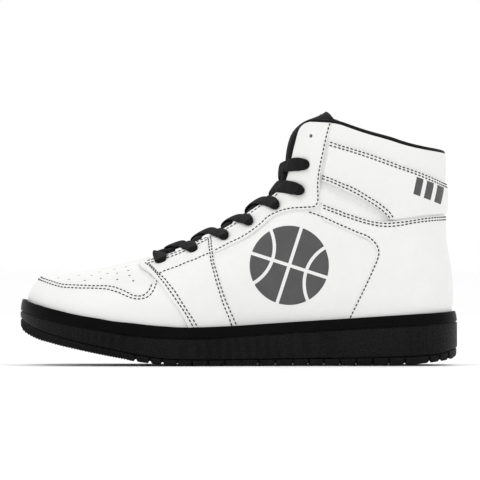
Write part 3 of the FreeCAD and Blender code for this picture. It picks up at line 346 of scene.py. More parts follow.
ANKLE_LOW = [(141.5, 103.6), (134.3, 103.1), (124.0, 102.0), (115.1, 100.6), (107.0, 99.7), (103.0, 100.1), (101.7, 101.4), (99.3, 104.0), (95.8, 106.8),
             (90.3, 110.2), (83.5, 114.0), (76.6, 117.4), (69.7, 120.7), (62.9, 123.8), (57.4, 126.0)]
ANKLE_TOP = [(141.5, 125.1), (138.4, 126.6), (131.5, 129.7), (124.7, 132.4), (117.8, 134.9), (110.9, 137.2), (104.1, 140.0),
             (97.2, 142.6), (89.0, 145.4), (83.5, 147.2), (76.6, 149.2), (69.7, 151.3), (61.8, 154.1)]
EYELETS = [(-52.4, 71.2), (-30.8, 79.1), (-9.9, 89.0), (6.9, 99.0), (25.1, 109.6), (42.3, 119.6), (46.0, 137.4), (50.0, 156.7)]
NOTCHES = [-70.0, -60.3, -51.8, -41.3, -31.5, -20.5, -9.2, 2.1, 13.5, 25.1, 37.3, 47.8, 58.4, 69.4, 80.5, 91.7, 102.8, 113.5, 130.4, 137.7, 144.0]
HALFW = [(-160, 50.5), (-125, 50.5), (-110, 51.2), (-95, 52.4), (-80, 53.4), (-65, 53.8), (-50, 53.2), (-30, 50.6), (-10, 46.8), (10, 43.4),
         (30, 41.0), (50, 40.0), (70, 40.0), (90, 40.4), (110, 40.8), (130, 41.0), (160, 41.0)]
CENTRE = [(-160, 10.5), (-150, 9.6), (-140, 8.4), (-125, 6.5), (-110, 4.6), (-95, 2.7), (-80, 1.0), (-65, -0.2), (-50, -1.2), (-30, -2.3),
          (-10, -2.9), (10, -3.0), (30, -2.2), (50, -1.0), (70, 0.0), (90, 0.6), (110, 1.0), (160, 1.0)]
INSET, TUCK = 5.3, 4.0
LIP, LIP_HEEL = 3.0, 1.5
X_TOE, R_TOE, R_HEEL = -143.9, 47.0, 38.0


class Tab:
    """Smooth table of (x, value) rows."""

    def __init__(self, rows):
        a = np.array(rows, float)
        self.x, self.y = a[:, 0], a[:, 1]
        d = np.diff(self.y) / np.diff(self.x)
        m = np.empty(len(self.x))
        m[0], m[-1] = d[0], d[-1]
        m[1:-1] = 0.5 * (d[:-1] + d[1:])
        self.m = m

    def __call__(self, x):
        x = np.clip(np.asarray(x, float), self.x[0], self.x[-1])
        i = np.clip(np.searchsorted(self.x, x, side="right") - 1, 0, len(self.x) - 2)
        x0, x1 = self.x[i], self.x[i + 1]
        dx = x1 - x0
        t = (x - x0) / dx
        return ((2 * t ** 3 - 3 * t ** 2 + 1) * self.y[i] + (t ** 3 - 2 * t ** 2 + t) * dx * self.m[i]
                + (-2 * t ** 3 + 3 * t ** 2) * self.y[i + 1] + (t ** 3 - t ** 2) * dx * self.m[i + 1])


class Curve:
    """Smooth side-view curve through points, by arc length from 0 to 1."""

    def __init__(self, pts):
        a = np.array(pts, float)
        d = np.concatenate([[0], np.cumsum(np.hypot(*np.diff(a, axis=0).T))])
        self.length = d[-1]
        u = d / d[-1]
        self.p = [tuple(r) for r in a]
        self.tx, self.tz = Tab(np.c_[u, a[:, 0]]), Tab(np.c_[u, a[:, 1]])

    def __call__(self, t):
        return self.tx(t), self.tz(t)

    def back(self):
        return Curve(self.p[::-1])


def coons(c0, c1, d0, d1):
    p00, p10, p01, p11 = c0(0), c0(1), c1(0), c1(1)

    def f(u, v):
        a, b, c, d = c0(u), c1(u), d0(v), d1(v)
        return tuple((1 - v) * a[k] + v * b[k] + (1 - u) * c[k] + u * d[k]
                     - ((1 - u) * (1 - v) * p00[k] + u * (1 - v) * p10[k] + (1 - u) * v * p01[k] + u * v * p11[k]) for k in (0, 1))
    return f


def ladder(pairs):
    n = len(pairs) - 1.0
    t = [Tab([(i / n, pr[j][k]) for i, pr in enumerate(pairs)]) for j in (0, 1) for k in (0, 1)]

    def f(u, v):
        ax, az, bx, bz = [q(u) for q in t]
        return ax + (bx - ax) * v, az + (bz - az) * v
    return f


def smooth(t):
    t = np.clip(t, 0, 1)
    return t * t * (3 - 2 * t)


T_RIM, T_GROOVE, T_TREAD, T_BOTTOM = Tab(RIM), Tab(GROOVE), Tab(TREADTOP), Tab(BOTTOM)
T_W, T_C = Tab(HALFW), Tab(CENTRE)
T_TOE = Tab(sorted(p for p in TOE if p[1] > 44.0))
T_BACK = Tab([(z, x) for x, z in BACK])
T_ANK = Tab([(-10, -1.4), (0, -1.25), (12, -0.8), (35, -1.6), (55, -2.8), (70, -2.6), (90, -0.6), (105, 1.0), (120, 1.4), (140, 0.8)])
T_ROUND = Tab([(0.0, 47.0), (0.25, 46.0), (0.5, 44.0), (0.62, 40.0), (0.7, 36.0), (1.0, 34.0)])
ridge = Curve(INSTEP)
RN = 120
RID = np.array(ridge(np.linspace(0, 1, RN + 1))).T


def tuck_z(x):
    return T_RIM(x) - TUCK


def spread(x, z, side):
    base = T_W(x) - INSET + 1.6 * smooth(x / 60.0)
    h = z - T_RIM(x)
    f = smooth((x + 60) / 80.0)
    ank = T_ANK(h) - np.where(side > 0, 3.0 * np.exp(-((x - 15) / 45.0) ** 2) * np.exp(-((h - 5) / 30.0) ** 2), 0.0)
    return base + f * ank


def near_ridge(x, z):
    sh = x.shape
    x, z = x.ravel(), z.ravel()
    a, b = RID[:-1], RID[1:]
    ux, uz = (b - a).T
    dx = x[:, None] - a[None, :, 0]
    dz = z[:, None] - a[None, :, 1]
    t = np.clip((dx * ux + dz * uz) / (ux * ux + uz * uz), 0, 1)
    qx, qz = dx - t * ux, dz - t * uz
    d2 = qx * qx + qz * qz
    i = np.argmin(d2, axis=1)
    k = np.arange(len(x))
    cr = ux[i] * qz[k, i] - uz[i] * qx[k, i]
    d = np.sqrt(d2[k, i]) * np.where(cr <= 0, 1.0, -1.0)
    return d.reshape(sh), ((i + t[k, i]) / RN).reshape(sh)


def half(x, z, side):
    x, z, side = np.broadcast_arrays(np.asarray(x, float), np.asarray(z, float), np.asarray(side, float))
    tt = np.clip(1.0 - (x - X_TOE) / R_TOE, 0, 1)
    e = np.sqrt(1 - tt ** 2.2)
    tb = np.clip(1.0 - (T_BACK(z) - x) / R_HEEL, 0, 1)
    e = e * np.sqrt(1 - tb ** 2.3)
    zt = T_TOE(x)
    zf = T_RIM(x) - 6.0
    t1 = np.clip(1.0 - (zt - z) / np.maximum(1.0, zt - zf), 0, 1)
    g1 = np.sqrt(1 - t1 ** 2.5)
    d, s = near_ridge(x, z)
    t2 = np.clip(1.0 - d / T_ROUND(s), 0, 1)
    g2 = np.sqrt(1 - t2 ** 2.4)
    w = smooth((x + 66) / 16.0)
    return spread(x, z, side) * e * (g1 * (1 - w) + g2 * w)


def skin(x, z, side):
    x, z, side = np.broadcast_arrays(np.asarray(x, float), np.asarray(z, float), np.asarray(side, float))
    return np.stack([x, T_C(x) + side * half(x, z, side), z], -1)


# =====================================================================
# mesh building
# =====================================================================
OBJ = {}


def make(name, verts, faces, mat, uv=None, smooth_shade=True, sharp=None):
    me = bpy.data.meshes.new(name)
    v = np.asarray(verts, float) * MM
    me.from_pydata([tuple(p) for p in v], [], faces)
    me.validate()
    me.update()
    if smooth_shade:
        me.polygons.foreach_set("use_smooth", [True] * len(me.polygons))
    if uv is not None:
        lay = me.uv_layers.new(name="UVMap")
        idx = np.empty(len(me.loops), int)
        me.loops.foreach_get("vertex_index", idx)
        lay.data.foreach_set("uv", np.asarray(uv, float)[idx].ravel())
    ob = bpy.data.objects.new(name, me)
    scene.collection.objects.link(ob)
    for m in (mat if isinstance(mat, (list, tuple)) else [mat]):
        me.materials.append(m)
    OBJ[name] = ob
    return ob


def grid_faces(nu, nv, base=0, closed_u=False, closed_v=False, flip=False):
    iu = np.arange(nu if closed_u else nu - 1)
    iv = np.arange(nv if closed_v else nv - 1)
    I, J = np.meshgrid(iu, iv, indexing="ij")
    I2, J2 = (I + 1) % nu, (J + 1) % nv
    q = np.stack([I * nv + J, I2 * nv + J, I2 * nv + J2, I * nv + J2], -1).reshape(-1, 4) + base
    if flip:
        q = q[:, ::-1]
    return q


def weld(ob, dist=1e-6):
    import bmesh
    bm = bmesh.new()
    bm.from_mesh(ob.data)
    bmesh.ops.remove_doubles(bm, verts=bm.verts, dist=dist)
    bmesh.ops.dissolve_degenerate(bm, dist=1e-7, edges=bm.edges)
    bmesh.ops.recalc_face_normals(bm, faces=bm.faces)
    bm.to_mesh(ob.data)
    bm.free()
    ob.data.polygons.foreach_set("use_smooth", [True] * len(ob.data.polygons))
    ob.data.update()


def dent(C, lines, depth=0.32, width=0.85):
    from mathutils.kdtree import KDTree
    pts = np.concatenate(lines)
    kd = KDTree(len(pts))
    for i, p in enumerate(pts):
        kd.insert(p, i)
    kd.balance()
    sh = C.shape[:-1]
    d = np.array([kd.find(p)[2] for p in C.reshape(-1, 3)]).reshape(sh)
    return depth * np.exp(-(d / width) ** 2)


def grad_n(x, z, side):
    """Outward unit normal of the upper's surface."""
    e = 0.05
    h0 = half(x, z, side)
    gx = (half(x + e, z, side) ** 2 - half(x - e, z, side) ** 2) / (2 * e)
    gz = (half(x, z + e, side) ** 2 - half(x, z - e, side) ** 2) / (2 * e)
    cx = (T_C(x + e) - T_C(x - e)) / (2 * e)
    dy = side * h0
    n = np.stack([-2 * dy * cx - gx, 2 * dy + 1e-9 * side, -gz], -1)
    return n / np.maximum(1e-12, np.linalg.norm(n, axis=-1, keepdims=True))


def wrapf(f, swap=True):
    """(u, w) to (x, z, side) for a piece round the front or back; w from -1 (outer side) to 1 (inner side)."""
    def F(s, w):
        t = 1 - np.cos(np.abs(w) * np.pi / 2)
        x, z = f(s, t) if swap else f(t, s)
        zero, one = np.zeros_like(t), np.ones_like(t)
        x0, z0 = f(s, zero) if swap else f(zero, s)
        if np.mean(x0) > 60:
            xc, _ = f(s, one) if swap else f(one, s)
            x = x + (T_BACK(z0) - x0) * (1 - t) ** 4
            x = np.minimum(x, T_BACK(z) - (x0 - xc) * t * 0.4)
        return x, z, np.where(w < 0, -1.0, 1.0)
    return F


def sidef(f, side):
    def F(u, v):
        x, z = f(u, v)
        return x, z, side * np.ones_like(x)
    return F


TOPS = []          # outer faces, for laying stitches and prints on


def piece(name, F, size, step, top, mat, edges=((1, 1), (1, 1)), bottom=-0.5, vr=(0.0, 1.0), dents=None, extra=None,
          depth=0.30, width=0.85, tops=True, rim=(0.0, 0.0, 0.22, 0.6, 1.2)):
    lu, lv = size
    us, hu = params(max(4, int(lu / step)), lu, edges[0], rim)
    vs, hv = params(max(4, int(lv / step)), lv, edges[1], rim)
    U, V = np.meshgrid(us, vs, indexing="ij")
    VV = vr[0] + (vr[1] - vr[0]) * V
    x, z, sd = F(U, VV)
    C = skin(x, z, sd)
    N = grad_n(x, z, sd)
    H = np.minimum.outer(hu, hv)
    tp = top(U, V, C) if callable(top) else float(top)
    bt = bottom(U, V, C) if callable(bottom) else float(bottom)
    off = bt + (tp - bt) * H
    if dents is not None and len(dents):
        off = off - dent(C, dents, depth, width) * (H > 0.9)
    if extra is not None:
        off = off - dent(C, *extra) * (H > 0.9)
    T = C + N * off[..., None]
    B = C + N * (bt * np.ones(U.shape))[..., None]
    n1, n2 = U.shape
    f1 = grid_faces(n1, n2)
    f2 = grid_faces(n1, n2, base=n1 * n2, flip=True)
    r = np.array([(i * n2) for i in range(n1)] + [((n1 - 1) * n2 + j) for j in range(1, n2)]
                 + [(i * n2 + n2 - 1) for i in range(n1 - 2, -1, -1)] + [j for j in range(n2 - 2, 0, -1)])
    r2 = np.roll(r, -1)
    f3 = np.stack([r2, r, r + n1 * n2, r2 + n1 * n2], -1)
    uv = np.stack([U * lu, V * lv], -1).reshape(-1, 2)
    ob = make(name, np.concatenate([T.reshape(-1, 3), B.reshape(-1, 3)]), np.concatenate([f1, f2, f3]).tolist(), mat, np.concatenate([uv, uv]))
    weld(ob)
    if tops:
        TOPS.append((T, f1))
    return ob


def params(n, length, edges, rim=(0.0, 0.0, 0.22, 0.6, 1.2)):
    hgt = (0.0, 0.62, 0.88, 0.985, 1.0)
    core = np.linspace(0, 1, n)
    lo, hi = edges
    vals, hs, tv, th = [], [], [], []
    if lo:
        vals, hs = [r / length for r in rim], list(hgt)
        core = core[core > (rim[-1] + 0.5) / length]
    if hi:
        tv, th = [1 - r / length for r in rim[::-1]], list(hgt[::-1])
        core = core[core < 1 - (rim[-1] + 0.5) / length]
    return np.array(vals + list(core) + tv), np.array(hs + [1.0] * len(core) + th)


# ---- stitch rows, side view, toe to heel or bottom to top
T1 = [(-136.2, 60.1), (-132.8, 58.5), (-129.3, 57.3), (-125.9, 56.3), (-122.5, 55.3), (-119.0, 54.7), (-112.2, 54.4), (-105.3, 54.2), (-98.4, 54.0), (-91.6, 54.0), (-86.8, 53.7), (-82.7, 52.7), (-78.5, 51.1), (-74.4, 49.2), (-71.7, 47.8), (-68.2, 47.4), (-65.5, 47.6), (-62.7, 49.2), (-60.7, 51.3), (-59.5, 53.7), (-58.4, 56.4), (-57.5, 58.6), (-57.0, 60.0)]
T2 = [(-137.2, 58.4), (-133.5, 57.0), (-130.7, 55.9), (-127.3, 54.8), (-123.8, 53.8), (-119.7, 53.0), (-114.2, 52.6), (-107.4, 52.3), (-100.5, 52.3), (-93.6, 52.1), (-88.1, 51.5), (-84.0, 50.4), (-81.3, 49.6), (-78.5, 48.4), (-75.8, 47.2), (-72.4, 46.0), (-67.6, 45.4), (-63.4, 46.1), (-60.7, 47.5), (-58.6, 49.9), (-57.0, 52.6), (-56.2, 55.0), (-55.6, 57.2), (-55.3, 58.8)]
F1 = [(-63.4, 69.1), (-59.3, 66.0), (-55.2, 61.9), (-52.4, 58.5), (-48.3, 53.3), (-44.2, 47.5), (-40.1, 41.7), (-36.0, 35.8), (-33.2, 31.0), (-31.2, 27.2), (-30.0, 24.9)]
F2 = [(-60.7, 68.1), (-57.3, 65.4), (-53.8, 61.9), (-51.1, 59.9), (-47.0, 55.1), (-42.8, 49.9), (-38.7, 43.4), (-34.6, 37.2), (-31.2, 32.1), (-28.4, 27.4), (-27.0, 24.9)]
THR1 = [(-62.7, 70.0), (-56.6, 71.8), (-49.7, 73.6), (-40.1, 77.0), (-31.2, 81.6), (-22.9, 86.0), (-20.9, 87.2)]
THR2 = [(-61.4, 68.6), (-55.2, 70.4), (-49.0, 72.2), (-40.1, 75.3), (-30.5, 80.0), (-23.6, 83.9), (-21.6, 85.2)]
THR3 = [(-13.6, 90.2), (-10.6, 91.3), (-7.1, 93.2), (-3.7, 95.1), (1.1, 98.2), (5.9, 101.7), (10.7, 105.3), (14.8, 108.2), (19.6, 111.5), (24.0, 114.4), (27.6, 117.2)]
RA = [(-20.6, 86.4), (-20.0, 84.9), (-19.8, 81.8), (-19.2, 76.3), (-18.5, 70.8), (-17.1, 65.4), (-15.4, 58.5), (-13.3, 51.6), (-11.3, 44.8), (-9.2, 39.3), (-7.1, 34.5), (-5.0, 28.6), (-3.8, 25.4)]
RB = [(-18.9, 87.4), (-18.3, 85.4), (-18.1, 81.8), (-17.6, 76.3), (-17.0, 70.8), (-15.4, 65.4), (-13.5, 58.5), (-11.3, 51.6), (-8.9, 44.8), (-6.5, 39.3), (-4.4, 34.5), (-1.9, 28.9), (-0.6, 25.6)]
S1 = [(-53.1, 62.3), (-49.7, 64.0), (-45.6, 65.4), (-40.1, 67.4), (-35.3, 69.5), (-29.8, 71.5), (-25.0, 73.9), (-20.6, 76.1)]
EYL = [(-15.4, 78.4), (-11.3, 80.5), (-5.8, 83.4), (-0.3, 85.9), (5.2, 89.0), (10.7, 92.8), (16.2, 97.3), (20.3, 101.1), (24.4, 103.5), (28.6, 105.2), (32.7, 106.5), (36.8, 107.4), (42.3, 107.9), (47.8, 108.3), (51.9, 108.9), (54.0, 111.4), (54.4, 114.8), (54.3, 120.3), (54.4, 125.8), (54.9, 131.3), (56.0, 137.4), (57.0, 142.2), (58.1, 147.7), (59.5, 153.9), (60.8, 159.4), (61.8, 163.0), (62.6, 165.2)]
C1 = [(142.5, 101.6), (134.3, 101.1), (127.4, 100.4), (120.5, 99.3), (115.1, 98.4), (109.6, 97.8), (104.1, 97.3), (98.6, 97.3), (93.8, 97.8), (89.0, 98.8), (84.9, 100.0), (80.7, 101.4), (76.6, 102.8), (72.5, 104.1), (68.4, 105.9), (64.3, 107.2), (60.1, 108.9), (57.8, 109.7)]
C2 = [(142.5, 99.7), (135.7, 99.4), (127.4, 98.6), (119.2, 97.5), (110.9, 95.9), (104.1, 95.2), (97.2, 95.4), (89.0, 96.9), (80.7, 99.3), (72.5, 102.1), (64.3, 105.2), (57.4, 107.8)]
B1 = [(57.6, 129.9), (61.5, 128.5), (66.3, 126.5), (71.1, 124.4), (76.6, 122.3), (81.4, 119.9), (85.5, 117.5), (89.7, 114.8), (93.8, 112.4), (97.2, 110.0), (100.6, 107.2), (103.4, 104.5), (105.3, 101.6)]
B2 = [(57.4, 128.0), (60.1, 127.0), (64.9, 125.1), (69.7, 122.8), (74.6, 120.8), (79.4, 118.4), (83.5, 116.2), (87.6, 113.4), (91.7, 110.9), (95.1, 108.6), (98.6, 105.9), (101.3, 103.3), (103.2, 101.2)]
A1 = [(142.5, 123.7), (138.4, 125.4), (131.5, 128.5), (124.7, 131.3), (117.8, 133.8), (110.9, 136.1), (104.1, 138.8), (97.2, 141.4), (89.0, 144.3), (83.5, 146.0), (76.6, 148.1), (69.7, 150.1), (62.2, 152.7)]
A2 = [(142.5, 121.8), (131.5, 126.6), (119.9, 131.3), (114.4, 133.3), (104.1, 136.9), (93.8, 140.5), (83.5, 144.0), (73.2, 147.2), (61.8, 150.5)]
HL = [(48.2, 104.9), (52.7, 103.4), (57.2, 101.8), (62.9, 99.3), (69.7, 96.2), (76.6, 93.2), (82.1, 90.8), (87.6, 88.7), (91.0, 86.3), (93.8, 83.2), (95.5, 79.8), (95.8, 76.3), (94.8, 72.2), (92.4, 66.7), (89.7, 60.5), (86.2, 53.0), (82.8, 46.1), (79.4, 39.3), (76.9, 34.2), (75.0, 30.4)]
PERF = [(-123.5, 59.9), (-115.8, 58.9), (-109.4, 61.6), (-105.0, 58.2), (-100.5, 61.6), (-95.0, 64.0), (-94.0, 59.6), (-89.5, 63.0), (-84.9, 65.9), (-82.9, 63.2), (-82.7, 59.0), (-76.8, 67.6), (-75.3, 65.0), (-74.4, 61.7), (-71.7, 58.1)]


def row3(pts, side, n=None):
    """(points, normals) along a row on one flank."""
    c = Curve(pts)
    n = n or int(c.length * 1.2 / 0.25)
    x, z = c(np.linspace(0, 1, n))
    return skin(x, z, side), grad_n(x, z, side * np.ones_like(x))


def row_round(pts, n=None):
    """(points, normals) along a row that goes round the toe or heel; pts start near the centre line."""
    c = Curve(pts)
    n = n or int(c.length * 2.9 / 0.25)
    w = np.linspace(-1, 1, n)
    t = 1 - np.cos(np.abs(w) * np.pi / 2)
    x, z = c(t)
    if pts[0][0] > 0:
        x = x + (T_BACK(z[n // 2]) - pts[0][0]) * (1 - t) ** 4
        x = np.minimum(x, T_BACK(z) - (pts[0][0] - pts[-1][0]) * t * 0.4)
    else:
        z0 = np.minimum(z, T_TOE(x) - 1e-3)
        z = z0
    sd = np.where(w < 0, -1.0, 1.0)
    return skin(x, z, sd), grad_n(x, z, sd)


ROWS = {}
for sd, tag in ((-1.0, "lateral"), (1.0, "medial")):
    ROWS["saddle_" + tag] = [row3(p, sd) for p in (F1, F2, THR1, THR2, RA, RB, S1)]
    ROWS["eyelet_stay_" + tag] = [row3(p, sd) for p in (THR3, EYL)]
    ROWS["ankle_flap_" + tag] = [row3(p, sd) for p in (B1, B2)]
    ROWS["heel_front_" + tag] = [row3(HL, sd)]
ROWS["toe_cap"] = [row_round(T1), row_round(T2)]
ROWS["heel_top"] = [row_round(C1), row_round(C2)]
ROWS["ankle_top"] = [row_round(A1), row_round(A2)]


def D(*names):
    return [r[0] for n in names for r in ROWS[n]]


def lin(a, b, n):
    return list(np.linspace(a, b, n))


def low(x0, x1, n=24):
    return [(x, float(tuck_z(x))) for x in lin(x0, x1, n)]


def toe_line(z0, x1):
    pts = [p for p in TOE if p[1] > z0 + 0.4 and p[0] < x1 - 0.6]
    return [(-143.6, z0)] + pts + [(x1, float(T_TOE(x1)))]


def back_line(z0, z1, n=14):
    return Curve([(float(T_BACK(z)), z) for z in lin(z0, z1, n)])


Z_NOSE = 41.2
VAMP_REAR = [(-61.5, 74.3), (-57.5, 69.0), (-52.0, 62.0), (-45.0, 52.5), (-38.5, 42.5), (-33.0, 33.0), (-28.5, 25.0), (-27.0, 22.5)]
front_low = Curve([(-143.6, Z_NOSE)] + low(-140.5, -104.0, 14))
side_low = Curve(low(-104.0, -27.0, 20))
vamp = coons(front_low, Curve(VAMP_REAR), Curve(toe_line(Z_NOSE, -61.5)), side_low)
SADDLE_STEP = [row3(SADDLE_FRONT, sd)[0][::3] for sd in (-1.0, 1.0)]
vamp_ob = piece("vamp", wrapf(vamp, False), (112, 190), 1.3, 0.0, M_TOE, edges=((0, 1), (0, 0)), bottom=-1.3, vr=(-1, 1),
                extra=(SADDLE_STEP, 0.75, 3.2))

cap_rear = Curve([(-31.4, float(tuck_z(-31.4))), (-36.0, 33.0), (-40.4, 39.8), (-45.2, 46.6), (-49.3, 52.4), (-53.0, 57.6), (-55.6, 61.6)])
cap_low = Curve([(-143.6, Z_NOSE)] + low(-140.5, -31.4, 28))
cap_front = Curve([(-143.6, Z_NOSE)] + toe_line(Z_NOSE, -135.2)[1:-1] + [(-135.2, 59.7)])
cap = coons(cap_front, cap_rear, cap_low, Curve(TOECAP_TOP[:-1] + [(-57.4, 58.6), (-55.6, 61.6)]))
piece("toe_cap_leather", wrapf(cap), (22, 290), 1.2, 1.15, M_OVERLAY, edges=((0, 1), (0, 0)), vr=(-1, 1), dents=D("toe_cap"),
      extra=(SADDLE_STEP, 0.75, 3.2))

throat_pts = [(-57.0, 72.6), (-49.7, 74.6), (-40.1, 78.4), (-31.2, 82.9), (-22.2, 87.4), (-11.3, 92.6), (-3.7, 96.9), (4.5, 102.8),
              (14.8, 110.0), (21.5, 114.5), (26.0, 118.2)]
quarter_front = Curve([(-26.4, float(tuck_z(-26.4))), (-27.9, 25.2), (-32.4, 33.2), (-37.9, 42.7), (-44.4, 52.8), (-51.3, 62.3), (-56.2, 68.4)] + throat_pts[1:])
quarter = coons(back_line(float(tuck_z(144)), 101.8), quarter_front, Curve(low(144.6, -26.4)), Curve(SPLIT))


def soft_wave(U, V, C):
    """A very slight unevenness of a big unsupported panel."""
    x, z = C[..., 0], C[..., 2]
    return (0.35 * np.exp(-((x - 66) / 26.0) ** 2 - ((z - 88) / 16.0) ** 2) - 0.25 * np.exp(-((x - 12) / 14.0) ** 2 - ((z - 62) / 30.0) ** 2)
            + 0.10 * np.sin(x * 0.11 + z * 0.07) * np.sin(z * 0.13 - x * 0.05))


for tag, sd in (("lateral", -1.0), ("medial", 1.0)):
    vr = (-1.0, -0.004) if sd < 0 else (0.004, 1.0)
    piece("quarter_" + tag + "_leather", wrapf(quarter), (92, 205), 1.3, soft_wave, M_LEATHER, edges=((0, 0), (0, 0)), bottom=-1.3, vr=vr,
          extra=([row3([(q + 0.6, w - 3.0) for q, w in EYL[1:15]], sd)[0][::3]], 0.8, 2.8))

ankle_front = Curve([(27.0, 119.2), (29.6, 121.6), (32.0, 125.0), (33.7, 129.5), (34.9, 134.5), (36.0, 139.5), (37.4, 146.0), (39.0, 152.5), (40.4, 157.8), (41.6, 160.9), (43.4, 163.4), (46.2, 165.4)])
split_up = Curve([(x, z + 0.1) for x, z in SPLIT[:-1]] + [(27.0, 119.2)])
ankle = coons(back_line(102.0, 145.6), ankle_front, split_up, Curve([(46.2, 165.4)] + [(q, w) for q, w in TOPLINE if q > 47]).back())


def collar_puff(U, V, C):
    """Padded band above the ankle panel: fullest midway to the topline."""
    x, z = C[..., 0], C[..., 2]
    za = Tab(ANKLE_TOP[::-1])(x)
    zt = Tab(TOPLINE)(x)
    f = np.clip((z - za) / np.maximum(1.0, zt - za), 0, 1)
    back = smooth((x - 56) / 14.0)
    return 1.3 * back * np.sqrt(np.clip(4 * f * (1 - f), 0, 1)) * (z > za)


FLAP_STEP = [row3([(q + 0.3, w - 1.6) for q, w in ANKLE_LOW[6:]], sd)[0][::3] for sd in (-1.0, 1.0)]
ankle_ob = piece("collar_leather", wrapf(ankle), (44, 280), 1.2, collar_puff, M_PAD, edges=((0, 1), (1, 1)), bottom=-2.2, vr=(-1, 1),
                 extra=(FLAP_STEP, 3.0, 4.2))

heel_panel = coons(back_line(float(tuck_z(144)), 102.9), Curve(HEEL_FRONT), Curve(low(144.6, 73.0)), Curve(HEEL_TOP))
piece("heel_panel_leather", wrapf(heel_panel), (90, 250), 1.3, 1.1, M_OVERLAY, edges=((0, 1), (1, 1)), vr=(-1, 1),
      dents=D("heel_top", "heel_front_lateral", "heel_front_medial"))
ankle_panel = coons(back_line(103.8, 125.1), Curve([(57.4, 126.0), (57.9, 131.3), (59.0, 137.1), (60.1, 142.0), (61.0, 147.4), (61.8, 154.1)]),
                    Curve(ANKLE_LOW), Curve(ANKLE_TOP))


def flap_puff(U, V, C):
    return 1.5 + 1.25 * np.sqrt(np.clip(4 * U * (1 - U), 0, 1))


piece("ankle_panel_leather", wrapf(ankle_panel), (27, 235), 1.15, flap_puff, M_OVERLAY, vr=(-1, 1), bottom=-2.0,
      dents=D("ankle_top", "ankle_flap_lateral", "ankle_flap_medial"), depth=0.6, width=1.3)

saddle_top = Curve([(-68.0, 69.2), (-63.4, 71.0), (-59.0, 72.2), (-53.8, 73.4), (-49.7, 74.6), (-40.1, 78.2), (-31.2, 82.7), (-22.2, 87.2), (-17.6, 89.6)])
SF = [(-68.0, 69.2)] + SADDLE_FRONT[1:]
saddle = coons(Curve(low(-33.2, 1.6, 10)), saddle_top, Curve(SF).back(), Curve(SADDLE_REAR).back())
STAY2 = [((-20.4, 88.2), (-20.4, 74.2))] + [(a_, (b_[0] - 0.9 * float(smooth((b_[1] - 108) / 8.0)), b_[1] + 0.5 * float(smooth((112 - b_[1]) / 8.0)))) for a_, b_ in STAY]
stay = ladder(STAY2)
for tag, sd in (("lateral", -1.0), ("medial", 1.0)):
    piece("saddle_" + tag + "_leather", sidef(saddle, sd), (45, 66), 1.0, lambda U, V, C: 1.75 - 0.75 * smooth((U - 0.66) / 0.34), M_OVERLAY,
          edges=((1, 1), (0, 1)), dents=D("saddle_" + tag))
    piece("eyelet_stay_" + tag + "_leather", sidef(stay, sd), (150, 19), 1.0, lambda U, V, C: 0.8 + 0.65 * smooth(V / 0.6), M_OVERLAY,
          dents=D("eyelet_stay_" + tag))


# ---- one search tree over the outer faces
def tree(items):
    vs, fs, base = [], [], 0
    for T, f in items:
        vs.append(T.reshape(-1, 3))
        fs.append(f + base)
        base += T.size // 3
    vs, fs = np.concatenate(vs), np.concatenate(fs)
    return BVHTree.FromPolygons([tuple(p) for p in vs], [tuple(int(i) for i in q) for q in fs])


TREE = tree(TOPS)


def lay(P, N, lift=4.0, far=9.0):
    """Places points on the outermost face, looking in along their normals."""
    out, nn = np.array(P, float), np.array(N, float)
    for i in range(len(P)):
        o = Vector(P[i] + N[i] * lift)
        loc, nrm, _, _ = TREE.ray_cast(o, Vector(-N[i]), far)
        if loc is None:
            loc, nrm, _, _ = TREE.find_nearest(o)
        if nrm.dot(Vector(N[i])) < 0:
            nrm = -nrm
        out[i], nn[i] = loc, nrm
    return out, nn


def stitches(name, rows, mat, length=2.2, pitch=2.9, r=0.40, phase=0.3):
    """A row of short raised threads whose ends go down into the leather."""
    verts, faces = [], []
    prof_t = np.array([-1.0, -0.86, -0.5, 0.0, 0.5, 0.86, 1.0])
    prof_r = np.array([0.25, 0.72, 1.0, 1.06, 1.0, 0.72, 0.25])
    prof_h = np.array([-0.30, -0.02, 0.12, 0.16, 0.12, -0.02, -0.30])
    k = 6
    for P, N in rows:
        seg = np.concatenate([[0], np.cumsum(np.linalg.norm(np.diff(P, axis=0), axis=1))])
        cnt = int((seg[-1] - phase * length) // pitch) + 1
        if cnt < 1:
            continue
        start = (seg[-1] - (cnt - 1) * pitch) / 2
        mids = start + pitch * np.arange(cnt)
        at3 = lambda q, A: np.stack([np.interp(q, seg, A[:, j]) for j in range(3)], -1)
        M, MN = at3(mids, P), at3(mids, N)
        MN /= np.linalg.norm(MN, axis=1, keepdims=True)
        D0 = at3(mids + 0.6, P) - at3(mids - 0.6, P)
        S, SN = lay(M, MN)
        for c, n, d in zip(S, SN, D0):
            d = d - n * np.dot(d, n)
            d /= np.linalg.norm(d)
            w = np.cross(n, d)
            base = len(verts)
            for t, rr, h in zip(prof_t, prof_r, prof_h):
                o = c + d * (t * length / 2) + n * h
                for q in range(k):
                    a = 2 * np.pi * q / k
                    verts.append(o + w * (np.cos(a) * r * rr) + n * (np.sin(a) * r * rr))
            m = len(prof_t)
            for i in range(m - 1):
                for q in range(k):
                    faces.append((base + i * k + q, base + i * k + (q + 1) % k, base + (i + 1) * k + (q + 1) % k, base + (i + 1) * k + q))
            faces.append(tuple(base + q for q in range(k))[::-1])
            faces.append(tuple(base + (m - 1) * k + q for q in range(k)))
    ob = make(name, verts, faces, mat, np.zeros((len(verts), 2)))
    return ob


for key, rows in ROWS.items():
    stitches("stitch_" + key, rows, M_THREAD)


